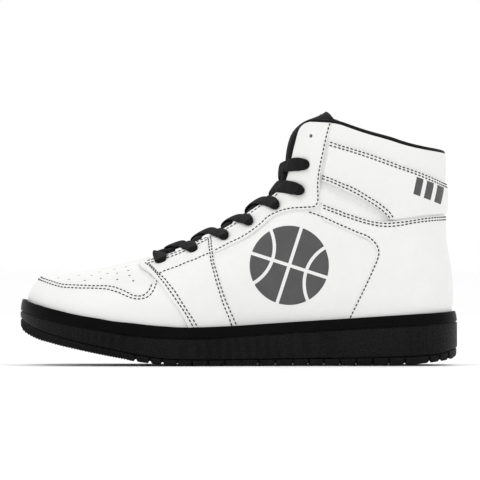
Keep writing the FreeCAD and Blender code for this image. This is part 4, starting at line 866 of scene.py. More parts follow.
# ---- printed marks: plain ball emblem on the outer flank, slanted bars at the back of the ankle
def print_patch(name, patches, mat, sides, lift=0.09):
    verts, faces = [], []
    for X, Z in patches:
        for sd in sides:
            n1, n2 = X.shape
            s_ = sd * np.ones(X.size)
            P = skin(X.ravel(), Z.ravel(), s_)
            N = grad_n(X.ravel(), Z.ravel(), s_)
            S, SN = lay(P, N)
            base = sum(len(v) for v in verts)
            verts.append(S + N * lift)
            verts.append(S - N * 0.25)
            f1 = grid_faces(n1, n2, base=base)
            f2 = grid_faces(n1, n2, base=base + n1 * n2, flip=True)
            r = np.array([(i * n2) for i in range(n1)] + [((n1 - 1) * n2 + j) for j in range(1, n2)]
                         + [(i * n2 + n2 - 1) for i in range(n1 - 2, -1, -1)] + [j for j in range(n2 - 2, 0, -1)]) + base
            r2 = np.roll(r, -1)
            faces += np.concatenate([f1, f2, np.stack([r2, r, r + n1 * n2, r2 + n1 * n2], -1)]).tolist()
    ob = make(name, np.concatenate(verts), faces, mat, np.zeros((sum(len(v) for v in verts), 2)))
    weld(ob)
    return ob


BALL_C, BALL_R, BALL_G = (34.7, 68.6), 27.0, 1.15
ball = []
arc = lambda z: 1.5 * BALL_R - np.sqrt((1.05 * BALL_R) ** 2 - z ** 2)
z_meet = 0.7 * BALL_R
for _ in range(20):
    z_meet -= (arc(z_meet) - np.sqrt(BALL_R ** 2 - z_meet ** 2)) * 0.4
rot = math.radians(-18)
for qx in (1, -1):
    for qz in (1, -1):
        for kind in (0, 1):
            if kind == 0:
                th = np.linspace(math.asin(BALL_G / BALL_R), math.acos(BALL_G / BALL_R) - 0.002, 44)
                zz = BALL_R * np.sin(th)
                rim_x = np.sqrt(BALL_R ** 2 - zz ** 2)
                lim = np.where(zz < BALL_R * 0.98, arc(np.minimum(zz, 1.04 * BALL_R)) - BALL_G * np.sqrt(1 + (zz / np.sqrt((1.05 * BALL_R) ** 2 - zz ** 2)) ** 2), 1e9)
                xl, xr = np.full_like(zz, BALL_G), np.maximum(BALL_G + 0.01, np.minimum(lim, rim_x))
            else:
                zz = np.linspace(BALL_G, z_meet * 0.955, 30)
                xl = arc(zz) + BALL_G * np.sqrt(1 + (zz / np.sqrt((1.05 * BALL_R) ** 2 - zz ** 2)) ** 2)
                xr = np.sqrt(BALL_R ** 2 - zz ** 2)
                xr = np.maximum(xl + 0.02, xr)
            tt = np.linspace(0, 1, 14)
            X = xl[:, None] + (xr - xl)[:, None] * tt[None, :]
            Z = np.repeat(zz[:, None], 14, 1)
            X, Z = qx * X, qz * Z
            ball.append((BALL_C[0] + X * math.cos(rot) - Z * math.sin(rot), BALL_C[1] + X * math.sin(rot) + Z * math.cos(rot)))
print_patch("emblem_ball", ball, M_INK, (-1.0, 1.0))
bars = []
seam = Tab(sorted(A2))
for i in range(3):
    uu, vv = np.meshgrid(np.linspace(0, 1, 9), np.linspace(0, 1, 18), indexing="ij")
    xx = 118.4 + 6.7 * i + 4.3 * uu
    z_hi = seam(xx + 2.4) - 1.7
    z_lo = z_hi - 11.6
    bars.append((xx + 2.4 * vv, z_lo + (z_hi - z_lo) * vv))
print_patch("ankle_bars", bars, M_INK, (-1.0, 1.0))

# ---- perforations and the empty top eyelet
def tube_at(P, N, r, up=3.0, down=4.0, k=14):
    """Vertices and faces of a plain cylinder along a normal."""
    N = N / np.linalg.norm(N)
    a = np.cross(N, [0.3, 0.5, 0.8])
    a /= np.linalg.norm(a)
    b = np.cross(N, a)
    v = []
    for h in (-down, up):
        for q in range(k):
            t = 2 * np.pi * q / k
            v.append(P + N * h + a * (r * np.cos(t)) + b * (r * np.sin(t)))
    f = [tuple((q, (q + 1) % k, k + (q + 1) % k, k + q)) for q in range(k)]
    f += [tuple(range(k))[::-1], tuple(range(k, 2 * k))]
    return v, f


def punch(objs, spots, r, up, down):
    verts, faces = [], []
    for P, N in spots:
        v, f = tube_at(P, N, r, up, down)
        base = len(verts)
        verts += v
        faces += [tuple(base + i for i in q) for q in f]
    cut = make("punch_tool", verts, faces, M_THREAD, smooth_shade=False)
    del OBJ["punch_tool"]
    bpy.context.view_layer.update()
    for ob in objs:
        m = ob.modifiers.new("punch", "BOOLEAN")
        m.operation, m.solver, m.object = "DIFFERENCE", "EXACT", cut
        dg = bpy.context.evaluated_depsgraph_get()
        me = bpy.data.meshes.new_from_object(ob.evaluated_get(dg))
        ob.modifiers.clear()
        old = ob.data
        ob.data = me
        bpy.data.meshes.remove(old)
        ob.data.polygons.foreach_set("use_smooth", [True] * len(ob.data.polygons))
        ob.data.set_sharp_from_angle(angle=math.radians(48))
    bpy.data.objects.remove(cut)


spots = []
for x, z in PERF:
    for sd in (-1.0, 1.0):
        zz = min(z, float(T_TOE(x)) - 0.5)
        a = np.array([x]), np.array([zz]), np.array([sd])
        spots.append((skin(*a)[0], grad_n(*a)[0]))
punch([OBJ["vamp"]], spots, 0.86, 2.0, 4.0)
ex, ez = EYELETS[7]
for tag, sd in (("lateral", -1.0), ("medial", 1.0)):
    a = np.array([ex]), np.array([ez]), np.array([sd])
    punch([OBJ["eyelet_stay_" + tag + "_leather"], OBJ["collar_leather"]], [(skin(*a)[0], grad_n(*a)[0])], 1.35, 5.0, 3.2)

# =====================================================================
# the cupsole
# =====================================================================


def plan_ab(inset, it, ih):
    xt, xh = -149.8 + it, 150.2 - ih
    rt, rh = 52.0 - it, 42.0 - ih

    def hw(x):
        ins = inset + (ih - inset) * smooth((x - 95) / 45.0)
        w = T_W(x) - ins
        tt = np.clip(1 - (x - xt) / rt, 0, 1)
        tb = np.clip(1 - (xh - x) / rh, 0, 1)
        return w * np.sqrt(1 - tt ** 2.2) * np.sqrt(1 - tb ** 2.3)
    return xt, xh, hw


def plan_at(a, inset, it=None, ih=None):
    """Outline points for angles a: 0 at the toe, pi at the heel on the outer side, back to 2 pi on the inner side."""
    it = inset if it is None else it
    ih = inset if ih is None else ih
    xt, xh, hw = plan_ab(inset, it, ih)
    x = 0.5 * (xt + xh) - 0.5 * (xh - xt) * np.cos(a)
    sd = np.where(a <= np.pi, -1.0, 1.0)
    return x, T_C(x) + sd * hw(x)


def even_angles(step_of, extra_x=()):
    a = np.linspace(0, np.pi, 6001)
    x, y = plan_at(a, 0.0)
    s = np.concatenate([[0], np.cumsum(np.hypot(np.diff(x), np.diff(y)) / step_of(0.5 * (x[1:] + x[:-1])))])
    n = int(math.ceil(s[-1]))
    pick = list(np.interp(np.linspace(0, s[-1], n + 1), s, a))
    for q in extra_x:
        pick.append(math.acos(max(-1, min(1, (0.2 - q) / 150.0))))
    pick = np.array(sorted(pick))
    keep = np.concatenate([[True], np.diff(pick) > 2e-4])
    pick = pick[keep]
    pick[0], pick[-1] = 0.0, np.pi
    return np.concatenate([pick, 2 * np.pi - pick[1:-1][::-1]])


ANG = even_angles(lambda x: 1.5 + 0 * x)
n_a = len(ANG)
# wall: rings from the outer foot up over the rim and down inside: (how far in, place between foot 0, groove 1, rim 2, height change)
RING = [(0.75, 0, 0.10), (0.30, 0, 0.22), (0.06, 0, 0.75), (0.0, 0, 1.6), (0.02, 0.35, 0), (0.05, 0.7, 0), (0.10, 1, -1.5), (0.14, 1, -0.85), (0.32, 1, -0.45),
        (0.95, 1, -0.22), (1.0, 1, 0.0), (0.95, 1, 0.22), (0.36, 1, 0.50), (0.17, 1, 0.9), (0.18, 1, 1.6), (0.34, 1.35, 0), (0.62, 1.65, 0), (0.90, 2, -1.8), (1.05, 2, -0.9),
        (1.30, 2, -0.25), (1.70, 2, 0.05), (2.2, 2, 0.12), (2.6, 2, 0.0), (2.86, 2, -0.35), (2.98, 2, -1.0), (3.0, 2, -2.2), (3.0, 1.5, 0), (3.0, 1, 0), (3.0, 0.5, 0), (3.0, 0, 0.10)]
rings = []
for ins, lev, dz in RING:
    k = ins / 3.0
    ih = ins if ins < 1.4 else 1.4 + (ins - 1.4) * 0.35
    x, y = plan_at(ANG, ins, ins, ih)
    zt, zg, zr = T_TREAD(x), T_GROOVE(x), T_RIM(x)
    z = np.where(lev <= 1, zt + (zg - zt) * min(lev, 1), zg + (zr - zg) * max(0.0, lev - 1)) + dz
    rings.append(np.stack([x, y, z], -1))
W = np.array(rings)
m = len(W)
verts = W.transpose(1, 0, 2).reshape(-1, 3)
f = grid_faces(n_a, m, closed_u=True, closed_v=True, flip=False)
cum = np.concatenate([[0], np.cumsum(np.linalg.norm(np.diff(W[3], axis=0), axis=1))])
uv = np.stack([np.repeat(cum, m), np.tile(np.arange(m) * 1.5, n_a)], -1)
wall = make("cupsole_wall_rubber", verts, f.tolist(), [M_WALL, M_BAND], uv)
mi = np.zeros(len(wall.data.polygons), int)
col = np.array([(q[0] % m) for q in f])
colmax = np.array([[i % m for i in q] for q in f]).max(axis=1)
mi[(colmax >= 13) & (colmax <= 25)] = 1
wall.data.polygons.foreach_set("material_index", mi)
weld(wall)

# tread: stacked outlines with notches at the foot and fine upright ribs round the toe
NX = NOTCHES
extra = []
for q in NX:
    extra += [q - 1.9, q - 1.5, q - 1.1, q - 0.62, q - 0.55, q, q + 0.55, q + 0.62, q + 1.1, q + 1.5, q + 1.9]
ANG2 = even_angles(lambda x: np.where(x < -72, 0.42, 1.6), extra)
n_b = len(ANG2)
xo, yo = plan_at(ANG2, 0.5)
arc_len = np.concatenate([[0], np.cumsum(np.hypot(np.diff(xo), np.diff(yo)))])
notch = np.zeros(n_b)
for q in NX:
    notch = np.maximum(notch, (np.abs(xo - q) < 0.58).astype(float))
vee = np.zeros(n_b)
for q in NX:
    vee = np.maximum(vee, smooth(1.55 - np.abs(xo - q) / 0.95))
toothed = smooth((-74 - xo) / 6.0)
ribs = 0.30 * np.sin(arc_len * 2 * np.pi / 1.85) * toothed


def teeth(x):
    """Fine cross ribs under the toe, seen as a toothed lower edge."""
    return 0.75 * (0.5 - 0.5 * np.sin(x * 2 * np.pi / 1.9)) * smooth((-73 - x) / 4.0)


LEV = [(0.0, 1.3), (0.03, 0.85), (0.10, 0.6), (0.25, 0.5), (0.5, 0.45), (0.78, 0.45), (0.90, 0.55), (0.97, 0.9), (1.0, 1.25)]
loops = []
for fz, ins in LEV:
    x, y = plan_at(ANG2, ins)
    nx = np.zeros(n_b)
    cut = 1.25 * notch * (1 if fz < 0.9 else 0) + (ribs if 0.05 < fz < 0.9 else 0)
    # push in towards the middle line of the sole
    gx, gy = np.gradient(x), np.gradient(y)
    ln = np.hypot(gx, gy) + 1e-9
    inx, iny = -gy / ln, gx / ln
    s_in = np.where((0.0 - x) * inx + (T_C(x) - y) * iny > 0, 1.0, -1.0)
    x2, y2 = x + inx * s_in * cut, y + iny * s_in * cut
    zb, zt = np.maximum(T_BOTTOM(x), 0.0), T_TREAD(x) - 0.15
    zb = zb + 1.5 * vee + teeth(x)
    loops.append(np.stack([x2, y2, zb + (zt - zb) * fz], -1))
L = np.array(loops)
nl = len(L)
verts = [L.transpose(1, 0, 2).reshape(-1, 3)]
faces = grid_faces(n_b, nl, closed_u=True).tolist()
half_n = n_b // 2            # index of the heel point


def rungs(level, fn, k=41):
    """Fills the inside of one loop with rungs from the outer to the inner side."""
    base = sum(len(v) for v in verts)
    loop = L[level]
    rows = []
    idx = []
    for i in range(1, half_n):
        j = n_b - i
        a, b = loop[i], loop[j]
        t = np.linspace(0, 1, k)[1:-1]
        P = a[None] + (b - a)[None] * t[:, None]
        P[:, 2] = fn(P[:, 0], P[:, 1], P[:, 2], np.minimum(t, 1 - t) * abs(b[1] - a[1]))
        idx.append([i * nl + level] + [base + len(rows) * (k - 2) + q for q in range(k - 2)] + [j * nl + level])
        rows.append(P)
    verts.append(np.concatenate(rows))
    out = []
    for r in range(len(idx) - 1):
        for q in range(k - 1):
            out.append((idx[r][q], idx[r][q + 1], idx[r + 1][q + 1], idx[r + 1][q]))
    out += [(0 * nl + level, idx[0][q + 1], idx[0][q]) for q in range(k - 1)]
    out += [(half_n * nl + level, idx[-1][q], idx[-1][q + 1]) for q in range(k - 1)]
    return out


def sole_pattern(x, y, z, inn):
    """Cross grooves, a ring pattern under the ball and a plain rand."""
    g = np.zeros_like(x)
    on = smooth((inn - 3.0) / 1.0)
    cross = np.zeros_like(x)
    for q in NX:
        cross = np.maximum(cross, smooth(1.55 - np.abs(x - q) / 0.95))
    d = np.hypot(x + 58, y - 1)
    ring = smooth(1.5 - np.abs((d + 3) % 6 - 3) / 0.6)
    g = np.where(d < 26, ring, g)
    z0 = np.maximum(T_BOTTOM(x), 0.0) + teeth(x)
    return z0 + np.maximum(1.4 * g * on, 1.5 * cross)


faces += rungs(0, sole_pattern)
faces += rungs(nl - 1, lambda x, y, z, i: T_TREAD(x) - 0.15)
VV = np.concatenate(verts)
tread = make("outsole_tread_rubber", VV, faces, M_TREAD, VV[:, :2].copy())
weld(tread)
tread.data.set_sharp_from_angle(angle=math.radians(50))

# =====================================================================
# inside: footbed, lower lining, padded collar
# =====================================================================
INS = INSET + 6.4


def slab_plan(name, ins, lo, hi, mat, waist=3.2, round_top=1.2):
    a = even_angles(lambda x: 2.5 + 0 * x)
    nb = len(a)
    hn = nb // 2
    prof = [(0.0, lo, 0), (0.0, hi, -round_top), (0.35, hi, -0.4), (round_top, hi, 0)]
    lp = []
    for add, f_, dz in prof:
        x, y = plan_at(a, ins + add, ins + add + 0.4, ins + add - 1.6)
        y = y - np.where(a > np.pi, waist * np.exp(-((x - 15) / 45.0) ** 2), 0)
        lp.append(np.stack([x, y, f_(x) + dz], -1))
    Lp = np.array(lp)
    k = 31
    vv = [Lp.transpose(1, 0, 2).reshape(-1, 3)]
    ff = grid_faces(nb, 4, closed_u=True)[:].tolist()
    ff = [q for q in ff if not ({i % 4 for i in q} == {0, 3})]
    for lev, fn in ((0, lambda x, y: lo(x)), (3, lambda x, y: hi(x) + 0.9 * (np.abs(y - T_C(x)) / 30.0) ** 2 - 0.7 * np.exp(-((x - 104) / 22.0) ** 2 - ((y - 0.5) / 18.0) ** 2))):
        base = sum(len(v) for v in vv)
        rows, idx = [], []
        for i in range(1, hn):
            j = nb - i
            A, B = Lp[lev][i], Lp[lev][j]
            t = np.linspace(0, 1, k)[1:-1]
            P = A[None] + (B - A)[None] * t[:, None]
            e = smooth(np.minimum(t, 1 - t) * abs(B[1] - A[1]) / 4.0)
            P[:, 2] = P[:, 2] + (fn(P[:, 0], P[:, 1]) - P[:, 2]) * e
            idx.append([i * 4 + lev] + [base + len(rows) * (k - 2) + q for q in range(k - 2)] + [j * 4 + lev])
            rows.append(P)
        vv.append(np.concatenate(rows))
        for r in range(len(idx) - 1):
            for q in range(k - 1):
                ff.append((idx[r][q], idx[r][q + 1], idx[r + 1][q + 1], idx[r + 1][q]))
        ff += [(lev, idx[0][q + 1], idx[0][q]) for q in range(k - 1)]
        ff += [(hn * 4 + lev, idx[-1][q], idx[-1][q + 1]) for q in range(k - 1)]
    V_ = np.concatenate(vv)
    ob = make(name, V_, ff, mat, V_[:, :2].copy())
    weld(ob)
    return ob


slab_plan("footbed_insole", INS - 1.1, lambda x: tuck_z(x) - 0.25 + 2.2, lambda x: tuck_z(x) - 0.25 + 2.2 + 4.5, M_FOOTBED)


def pad_depth(x, z):
    return smooth((x - 50) / 18.0) * smooth((z - 92 + 0.1 * (x - 60)) / 26.0)


O_LINE = -3.15


def o_collar(x, z):
    return O_LINE - (8.6 + O_LINE) * pad_depth(x, z)


quarter_in = coons(back_line(float(tuck_z(144)) + 0.3, 101.8), quarter_front, Curve(low(144.6, -26.4)), Curve(SPLIT))
ob = piece("quarter_lining_mesh", wrapf(quarter_in), (92, 400), 2.2, lambda U, V, C: o_collar(C[..., 0], C[..., 2]), M_LINING, edges=((0, 0), (0, 0)),
           bottom=lambda U, V, C: o_collar(C[..., 0], C[..., 2]) - 1.1, vr=(-1, 1), tops=False)

# padded collar: rolled edge on the topline, padding and lining in one sewn piece
s_n, w_n = 34, 300
ws = np.linspace(-1, 1, w_n)
Fa = wrapf(ankle)


def collar_frame(s, w):
    S_, W_ = s * np.ones_like(w), w
    x, z, sd = Fa(S_, W_)
    return skin(x, z, sd), grad_n(x, z, sd), x, z


C1_, N1_, x1, z1 = collar_frame(1.0, ws)
T1_ = np.gradient(C1_, axis=0)
T1_ /= np.linalg.norm(T1_, axis=1, keepdims=True)
U1_ = np.cross(T1_, N1_)
U1_ *= np.sign(U1_[:, 2:3])
dep = -(o_collar(x1, z1)) + 1.1
cols = []
# hidden outside face from below up to the roll
for q, (dz, off) in enumerate(((-9.0, -2.5), (-5.0, -2.45), (-2.0, -2.0), (-0.9, -1.2))):
    cols.append(C1_ + N1_ * off + U1_ * dz)
edge_out = 0.45
for ang in np.linspace(0, np.pi, 13):
    mid, rad = (edge_out - dep) / 2, (edge_out + dep) / 2
    h = (2.0 + 2.3 * np.exp(-((x1 - 59.0) / 11.0) ** 2) * (ws > 0)) * np.sin(ang) ** 0.75
    cols.append(C1_ + N1_ * (mid + rad * np.cos(ang))[:, None] + U1_ * (h + (-0.55 if ang < 0.3 else 0.0))[:, None])
for q, s in enumerate(np.linspace(0.965, 0.0, s_n)):
    Cq, Nq, xq, zq = collar_frame(s, ws)
    puff = 0.9 * math.sin(min(1.0, (1 - s) / 0.75) * math.pi) ** 0.8 if s > 0.25 else 0.0
    off = o_collar(xq, zq) - 1.1 - puff * pad_depth(xq, zq)
    cols.append(Cq + Nq * off[:, None])
# its lower edge laps over the quarter's lining
Ca, Na, xa, za = collar_frame(0.0, ws)
Dn = Ca - collar_frame(0.05, ws)[0]
Dn /= np.linalg.norm(Dn, axis=1, keepdims=True)
lap = smooth((xa - 68.0) / 10.0)
cols.append(Ca + Na * (o_collar(xa, za) - 1.1 - 0.15 * lap)[:, None] + Dn * (0.15 + 2.15 * lap)[:, None])
cols.append(Ca + Na * (o_collar(xa, za) - 0.5)[:, None] + Dn * (0.25 + 2.35 * lap)[:, None])
for s in (0.0, 0.25, 0.5, 0.7):
    Cq, Nq, xq, zq = collar_frame(s, ws)
    cols.append(Cq + Nq * (-2.6 + 0 * xq if s > 0 else np.maximum(o_collar(xq, zq), -3.0))[:, None])
G = np.array(cols)                 # rows across the profile, w along
G = G.transpose(1, 0, 2)
nw, nc = G.shape[:2]
ff = grid_faces(nw, nc, closed_v=True).tolist()
ff += [tuple(range(nc))[::-1], tuple((nw - 1) * nc + i for i in range(nc))]
cw = np.concatenate([[0], np.cumsum(np.linalg.norm(np.diff(C1_, axis=0), axis=1))])
cv = np.concatenate([[0], np.cumsum(np.linalg.norm(np.diff(G[nw // 2], axis=0), axis=1))])
uv = np.stack([np.repeat(cw, nc), np.tile(cv, nw)], -1)
collar = make("collar_pad_lining", G.reshape(-1, 3), ff, [M_LINING, M_BIND], uv)
pc = np.array([max(i % nc for i in q) for q in ff[:-2]] + [0, 0])
pm = np.array([min(i % nc for i in q) for q in ff[:-2]] + [0, 0])
mi = ((pc <= 15) & (pm >= 2)).astype(int)
collar.data.polygons.foreach_set("material_index", mi)
weld(collar)

# =====================================================================
# tongue: one padded piece, ribbed outside, bound edge, mesh lining
# =====================================================================
TONGUE = [(-58.6, 74.1), (-50.2, 76.9), (-40.0, 80.1), (-29.5, 84.7), (-19.1, 89.7), (-8.7, 94.6), (1.7, 101.1), (12.0, 108.8),
          (18.9, 113.6), (24.2, 117.8), (28.2, 122.3), (30.2, 126.8), (31.0, 131.5), (31.4, 139.0), (32.3, 147.5), (33.8, 153.9),
          (35.6, 158.6), (38.4, 162.6), (41.8, 165.8), (45.6, 168.2), (49.8, 169.9), (54.0, 171.5), (57.6, 173.3), (60.6, 175.4)]
tcurve = Curve(TONGUE)
W_T = Tab([(0.0, 20.0), (0.08, 23.0), (0.3, 25.3), (0.6, 25.3), (0.8, 25.4), (0.95, 25.4), (1.0, 22.9)])
A_T = Tab([(0.0, 47.0), (0.3, 43.0), (0.6, 38.0), (0.8, 37.5), (1.0, 37.5)])
R_T = Tab([(0.0, 47.0), (0.3, 45.0), (0.6, 38.0), (0.75, 34.0), (0.9, 24.0), (1.0, 16.0)])
GAP_T = Tab([(0.0, 9.0), (0.1, 11.0), (0.3, 13.0), (0.6, 14.0), (0.75, 19.0), (1.0, 24.0)])


def tongue_point(s, v, deep):
    e = 0.004
    ax, az = tcurve(np.maximum(0, s - e))
    bx, bz = tcurve(np.minimum(1, s + e))
    l = np.hypot(bx - ax, bz - az)
    nx, nz = (bz - az) / l, -(bx - ax) / l
    cx, cz = tcurve(s)
    y = v * W_T(s)
    ay = np.abs(y)
    d = R_T(s) * (1 - np.maximum(0.0, 1 - (ay / A_T(s)) ** 2) ** (1 / 2.3))
    g = GAP_T(s)
    d = d + 0.7 + (6.3 * smooth((ay - 0.45 * g) / (0.5 * g)) + 0.0112 * y * y) * (1 - 0.75 * smooth((s - 0.84) / 0.12)) + deep
    return np.stack([cx + nx * d, T_C(cx) + y + 1.7 * smooth((s - 0.35) / 0.3), cz + nz * d], -1)


T_LEN, T_WID, T_MID, T_DEEP = tcurve.length, 52.0, 3.9, 7.7
rr = T_MID
edge_d = [rr * q for q in (0.0, 0.04, 0.14, 0.30, 0.52, 0.78, 1.0)]
edge_h = [math.sqrt(1 - (1 - q) ** 2) for q in (0.0, 0.04, 0.14, 0.30, 0.52, 0.78, 1.0)]
core_u = np.linspace(0, 1, 150)
core_v = np.linspace(0, 1, 40)
tip_d = [0.45 * q for q in edge_d]
uu = np.concatenate([core_u[core_u < 1 - (tip_d[-1] + 0.6) / T_LEN], [1 - q / T_LEN for q in tip_d[::-1]]])
hu = np.concatenate([np.ones(np.sum(core_u < 1 - (tip_d[-1] + 0.6) / T_LEN)), edge_h[::-1]])
cvm = (core_v > (edge_d[-1] + 0.6) / T_WID) & (core_v < 1 - (edge_d[-1] + 0.6) / T_WID)
vv_ = np.concatenate([[q / T_WID for q in edge_d], core_v[cvm], [1 - q / T_WID for q in edge_d[::-1]]])
hv = np.concatenate([edge_h, np.ones(cvm.sum()), edge_h[::-1]])
U, V_ = np.meshgrid(uu, vv_, indexing="ij")
H = np.minimum.outer(hu, hv)
Vn = 2 * V_ - 1
pillow = 0.55 * np.sqrt(np.clip(1 - Vn ** 2, 0, 1)) * smooth(U / 0.1)
top_d = T_MID - T_MID * H
bot_d = T_MID + (T_DEEP - T_MID) * H
Ta, Tb = tongue_point(U, Vn, top_d), tongue_point(U, Vn, bot_d)
n1, n2 = U.shape
f1, f2 = grid_faces(n1, n2), grid_faces(n1, n2, base=n1 * n2, flip=True)
r = np.array([(i * n2) for i in range(n1)] + [((n1 - 1) * n2 + j) for j in range(1, n2)]
             + [(i * n2 + n2 - 1) for i in range(n1 - 2, -1, -1)] + [j for j in range(n2 - 2, 0, -1)])
r2 = np.roll(r, -1)
f3 = np.stack([r2, r, r + n1 * n2, r2 + n1 * n2], -1)
uv = np.stack([U * T_LEN, Vn * T_WID / 2], -1).reshape(-1, 2)
ff = np.concatenate([f1, f2, f3])
tongue = make("tongue_pad", np.concatenate([Ta.reshape(-1, 3), Tb.reshape(-1, 3)]), ff.tolist(), [M_TONGUE, M_LINING, M_BIND], np.concatenate([uv, uv]))
hh = np.concatenate([H.ravel(), H.ravel()])
mi = np.where(hh[ff].min(axis=1) < 0.80, 2, np.where(ff.min(axis=1) >= n1 * n2, 1, 0))
base_side = (np.concatenate([U.ravel(), U.ravel()])[ff].max(axis=1) < 0.01)
mi[base_side] = 0
tongue.data.polygons.foreach_set("material_index", mi.astype(np.int32))
weld(tongue)
# a stitched seam just inside the bound edge of the tongue
sv = 1 - 5.4 / (T_WID / 2)
seam_u = 1 - 5.4 / T_LEN
path = [(u, -sv) for u in np.linspace(0.45, seam_u - 0.012, 90)] + [(seam_u - 0.012 + 0.012 * math.sin(a), -sv + 0.10 * (1 - math.cos(a))) for a in np.linspace(0, math.pi / 2, 8)] \
    + [(seam_u, v) for v in np.linspace(-sv + 0.11, sv - 0.11, 60)] + [(seam_u - 0.012 * (1 - math.cos(a)), sv - 0.10 * (1 - math.sin(a))) for a in np.linspace(0, math.pi / 2, 8)] \
    + [(u, sv) for u in np.linspace(seam_u - 0.013, 0.45, 90)]
pu = np.array([p[0] for p in path])
pv = np.array([p[1] for p in path])
Sp = tongue_point(pu, pv, 0.0)
Sn = tongue_point(pu, pv, -1.0) - Sp
Sn /= np.linalg.norm(Sn, axis=1, keepdims=True)
TREE_SHOE = TREE
TREE = tree([(Ta, f1)])
M_THREAD2 = thread("thread_charcoal", 0.030)
stitches("stitch_tongue", [(Sp, Sn)], M_THREAD2, length=2.0, pitch=3.0, r=0.27)
TREE = TREE_SHOE

# =====================================================================
# laces: flat woven, crossed over the tongue, into the eyelets from outside
# =====================================================================
lcurve = Curve(INSTEP[2:])


def lace_AR(s):
    return (np.where(s < 0.3, 47.0, 47.0 - 8.0 * smooth((s - 0.3) / 0.4)), np.where(s < 0.5, 46.0, 46.0 - 11.0 * smooth((s - 0.5) / 0.25)))


def lace_base(s, y):
    e = 0.004
    ax, az = lcurve(np.maximum(0, s - e))
    bx, bz = lcurve(np.minimum(1, s + e))
    tx, tz = bx - ax, bz - az
    l = np.hypot(tx, tz)
    cx, cz = lcurve(s)
    A, R = lace_AR(s)
    d = R * (1 - np.maximum(0.0, 1 - (np.abs(y) / A) ** 2) ** (1 / 2.4))
    return np.stack([cx + tz / l * d, T_C(cx) + y, cz - tx / l * d], -1)


def lace_normal(s, y, e=0.012):
    n = np.cross(lace_base(s + e, y) - lace_base(s - e, y), lace_base(s, y + 0.5) - lace_base(s, y - 0.5))
    n /= np.linalg.norm(n, axis=-1, keepdims=True)
    ax, az = lcurve(np.maximum(0, s - e))
    bx, bz = lcurve(np.minimum(1, s + e))
    out = np.stack([-(bz - az), y * 0, bx - ax], -1)
    out /= np.linalg.norm(out, axis=-1, keepdims=True)
    out = out + np.stack([y * 0, y / 25.0, y * 0], -1)
    sg = np.sign(np.sum(n * out, -1))[..., None]
    return n * sg


EY = []
for x, z in EYELETS[:7]:
    q = np.linspace(0, 1, 1601)
    cx, cz = lcurve(q)
    d = np.hypot(cx - x, cz - z)
    k = int(np.argmin(d))
    A, R = lace_AR(q[k])
    EY.append((float(q[k]), float(A * math.sqrt(max(0.0, 1 - (1 - min(1.0, d[k] / R)) ** 2.4)))))
GL = Tab([(0.0, 9.5), (0.1, 11.0), (0.3, 12.5), (0.55, 14.0), (0.7, 17.5), (1.0, 20.0)])
LACE_W, LACE_T = 9.2, 1.9


def ribbon(paths, name, mat):
    """Flat laces with rounded edges: each path is (points, normals, widths, thicknesses)."""
    verts, faces, uvs = [], [], []
    k = 20
    ca, sa = np.cos(np.linspace(0, 2 * np.pi, k, endpoint=False)), np.sin(np.linspace(0, 2 * np.pi, k, endpoint=False))
    ex = np.sign(ca) * np.abs(ca) ** 0.75
    ez = np.sign(sa) * np.abs(sa) ** 0.62
    for P, N, Wd, Th in paths:
        n = len(P)
        Dv = np.gradient(P, axis=0)
        Dv /= np.linalg.norm(Dv, axis=1, keepdims=True)
        N = N - Dv * np.sum(N * Dv, 1, keepdims=True)
        N /= np.linalg.norm(N, axis=1, keepdims=True)
        S = np.cross(Dv, N)
        L_ = np.concatenate([[0], np.cumsum(np.linalg.norm(np.diff(P, axis=0), axis=1))])
        base = len(verts)
        for i in range(n):
            for q in range(k):
                y_ = ex[q]
                dome = (0.42 + 0.58 * math.sqrt(max(0, 1 - y_ * y_)))
                verts.append(P[i] + S[i] * (Wd[i] / 2 * y_) + N[i] * (Th[i] / 2 * ez[q] * dome))
                uvs.append((L_[i], y_))
        for i in range(n - 1):
            for q in range(k):
                faces.append((base + i * k + q, base + i * k + (q + 1) % k, base + (i + 1) * k + (q + 1) % k, base + (i + 1) * k + q))
        faces.append(tuple(base + q for q in range(k))[::-1])
        faces.append(tuple(base + (n - 1) * k + q for q in range(k)))
    ob = make(name, verts, faces, mat, np.array(uvs))
    weld(ob)
    return ob


def end_y(i, beyond):
    """How far out a lace runs: its tip lies a little past the eyelet."""
    s1, y1 = EY[i]
    y = np.linspace(y1 - 1.0, y1 + 5.0, 1201)
    B = lace_base(s1 + 0 * y, y)
    d = np.hypot(B[:, 0] - EYELETS[i][0], B[:, 2] - EYELETS[i][1])
    k = int(np.argmin(d))
    far = np.nonzero(d[k:] > beyond)[0]
    return float(y[k + far[0]]) if len(far) else float(y[-1])


def lie(P, N, w, th):
    """Lets the part of a lace past the throat edge lie on the leather below it."""
    on = w > 0.002
    S, SN = lay(P[on] + N[on] * 2.0, N[on], lift=5.0, far=14.0)
    h = np.sum((S - P[on]) * N[on], axis=1)
    near = smooth((h + 2.2) / 1.2)[:, None]
    h = np.clip(h, -0.9, 2.6)
    w_ = w[on, None]
    P, N = P.copy(), N.copy()
    P[on] = P[on] + N[on] * (w[on] * (h + th[on] / 2 + 0.12))[:, None]
    N[on] = N[on] * (1 - w_ * near) + SN * w_ * near
    N /= np.linalg.norm(N, axis=1, keepdims=True)
    for _ in range(6):
        P[1:-1] = 0.25 * P[:-2] + 0.5 * P[1:-1] + 0.25 * P[2:]
        N[1:-1] = 0.25 * N[:-2] + 0.5 * N[1:-1] + 0.25 * N[2:]
    return P, N


def run_length(P):
    return np.concatenate([[0], np.cumsum(np.linalg.norm(np.diff(P, axis=0), axis=1))])


def round_tip(rest, r):
    return np.sqrt(np.clip(1 - (1 - np.clip(rest / r, 0, 1)) ** 2, 0.0, 1))


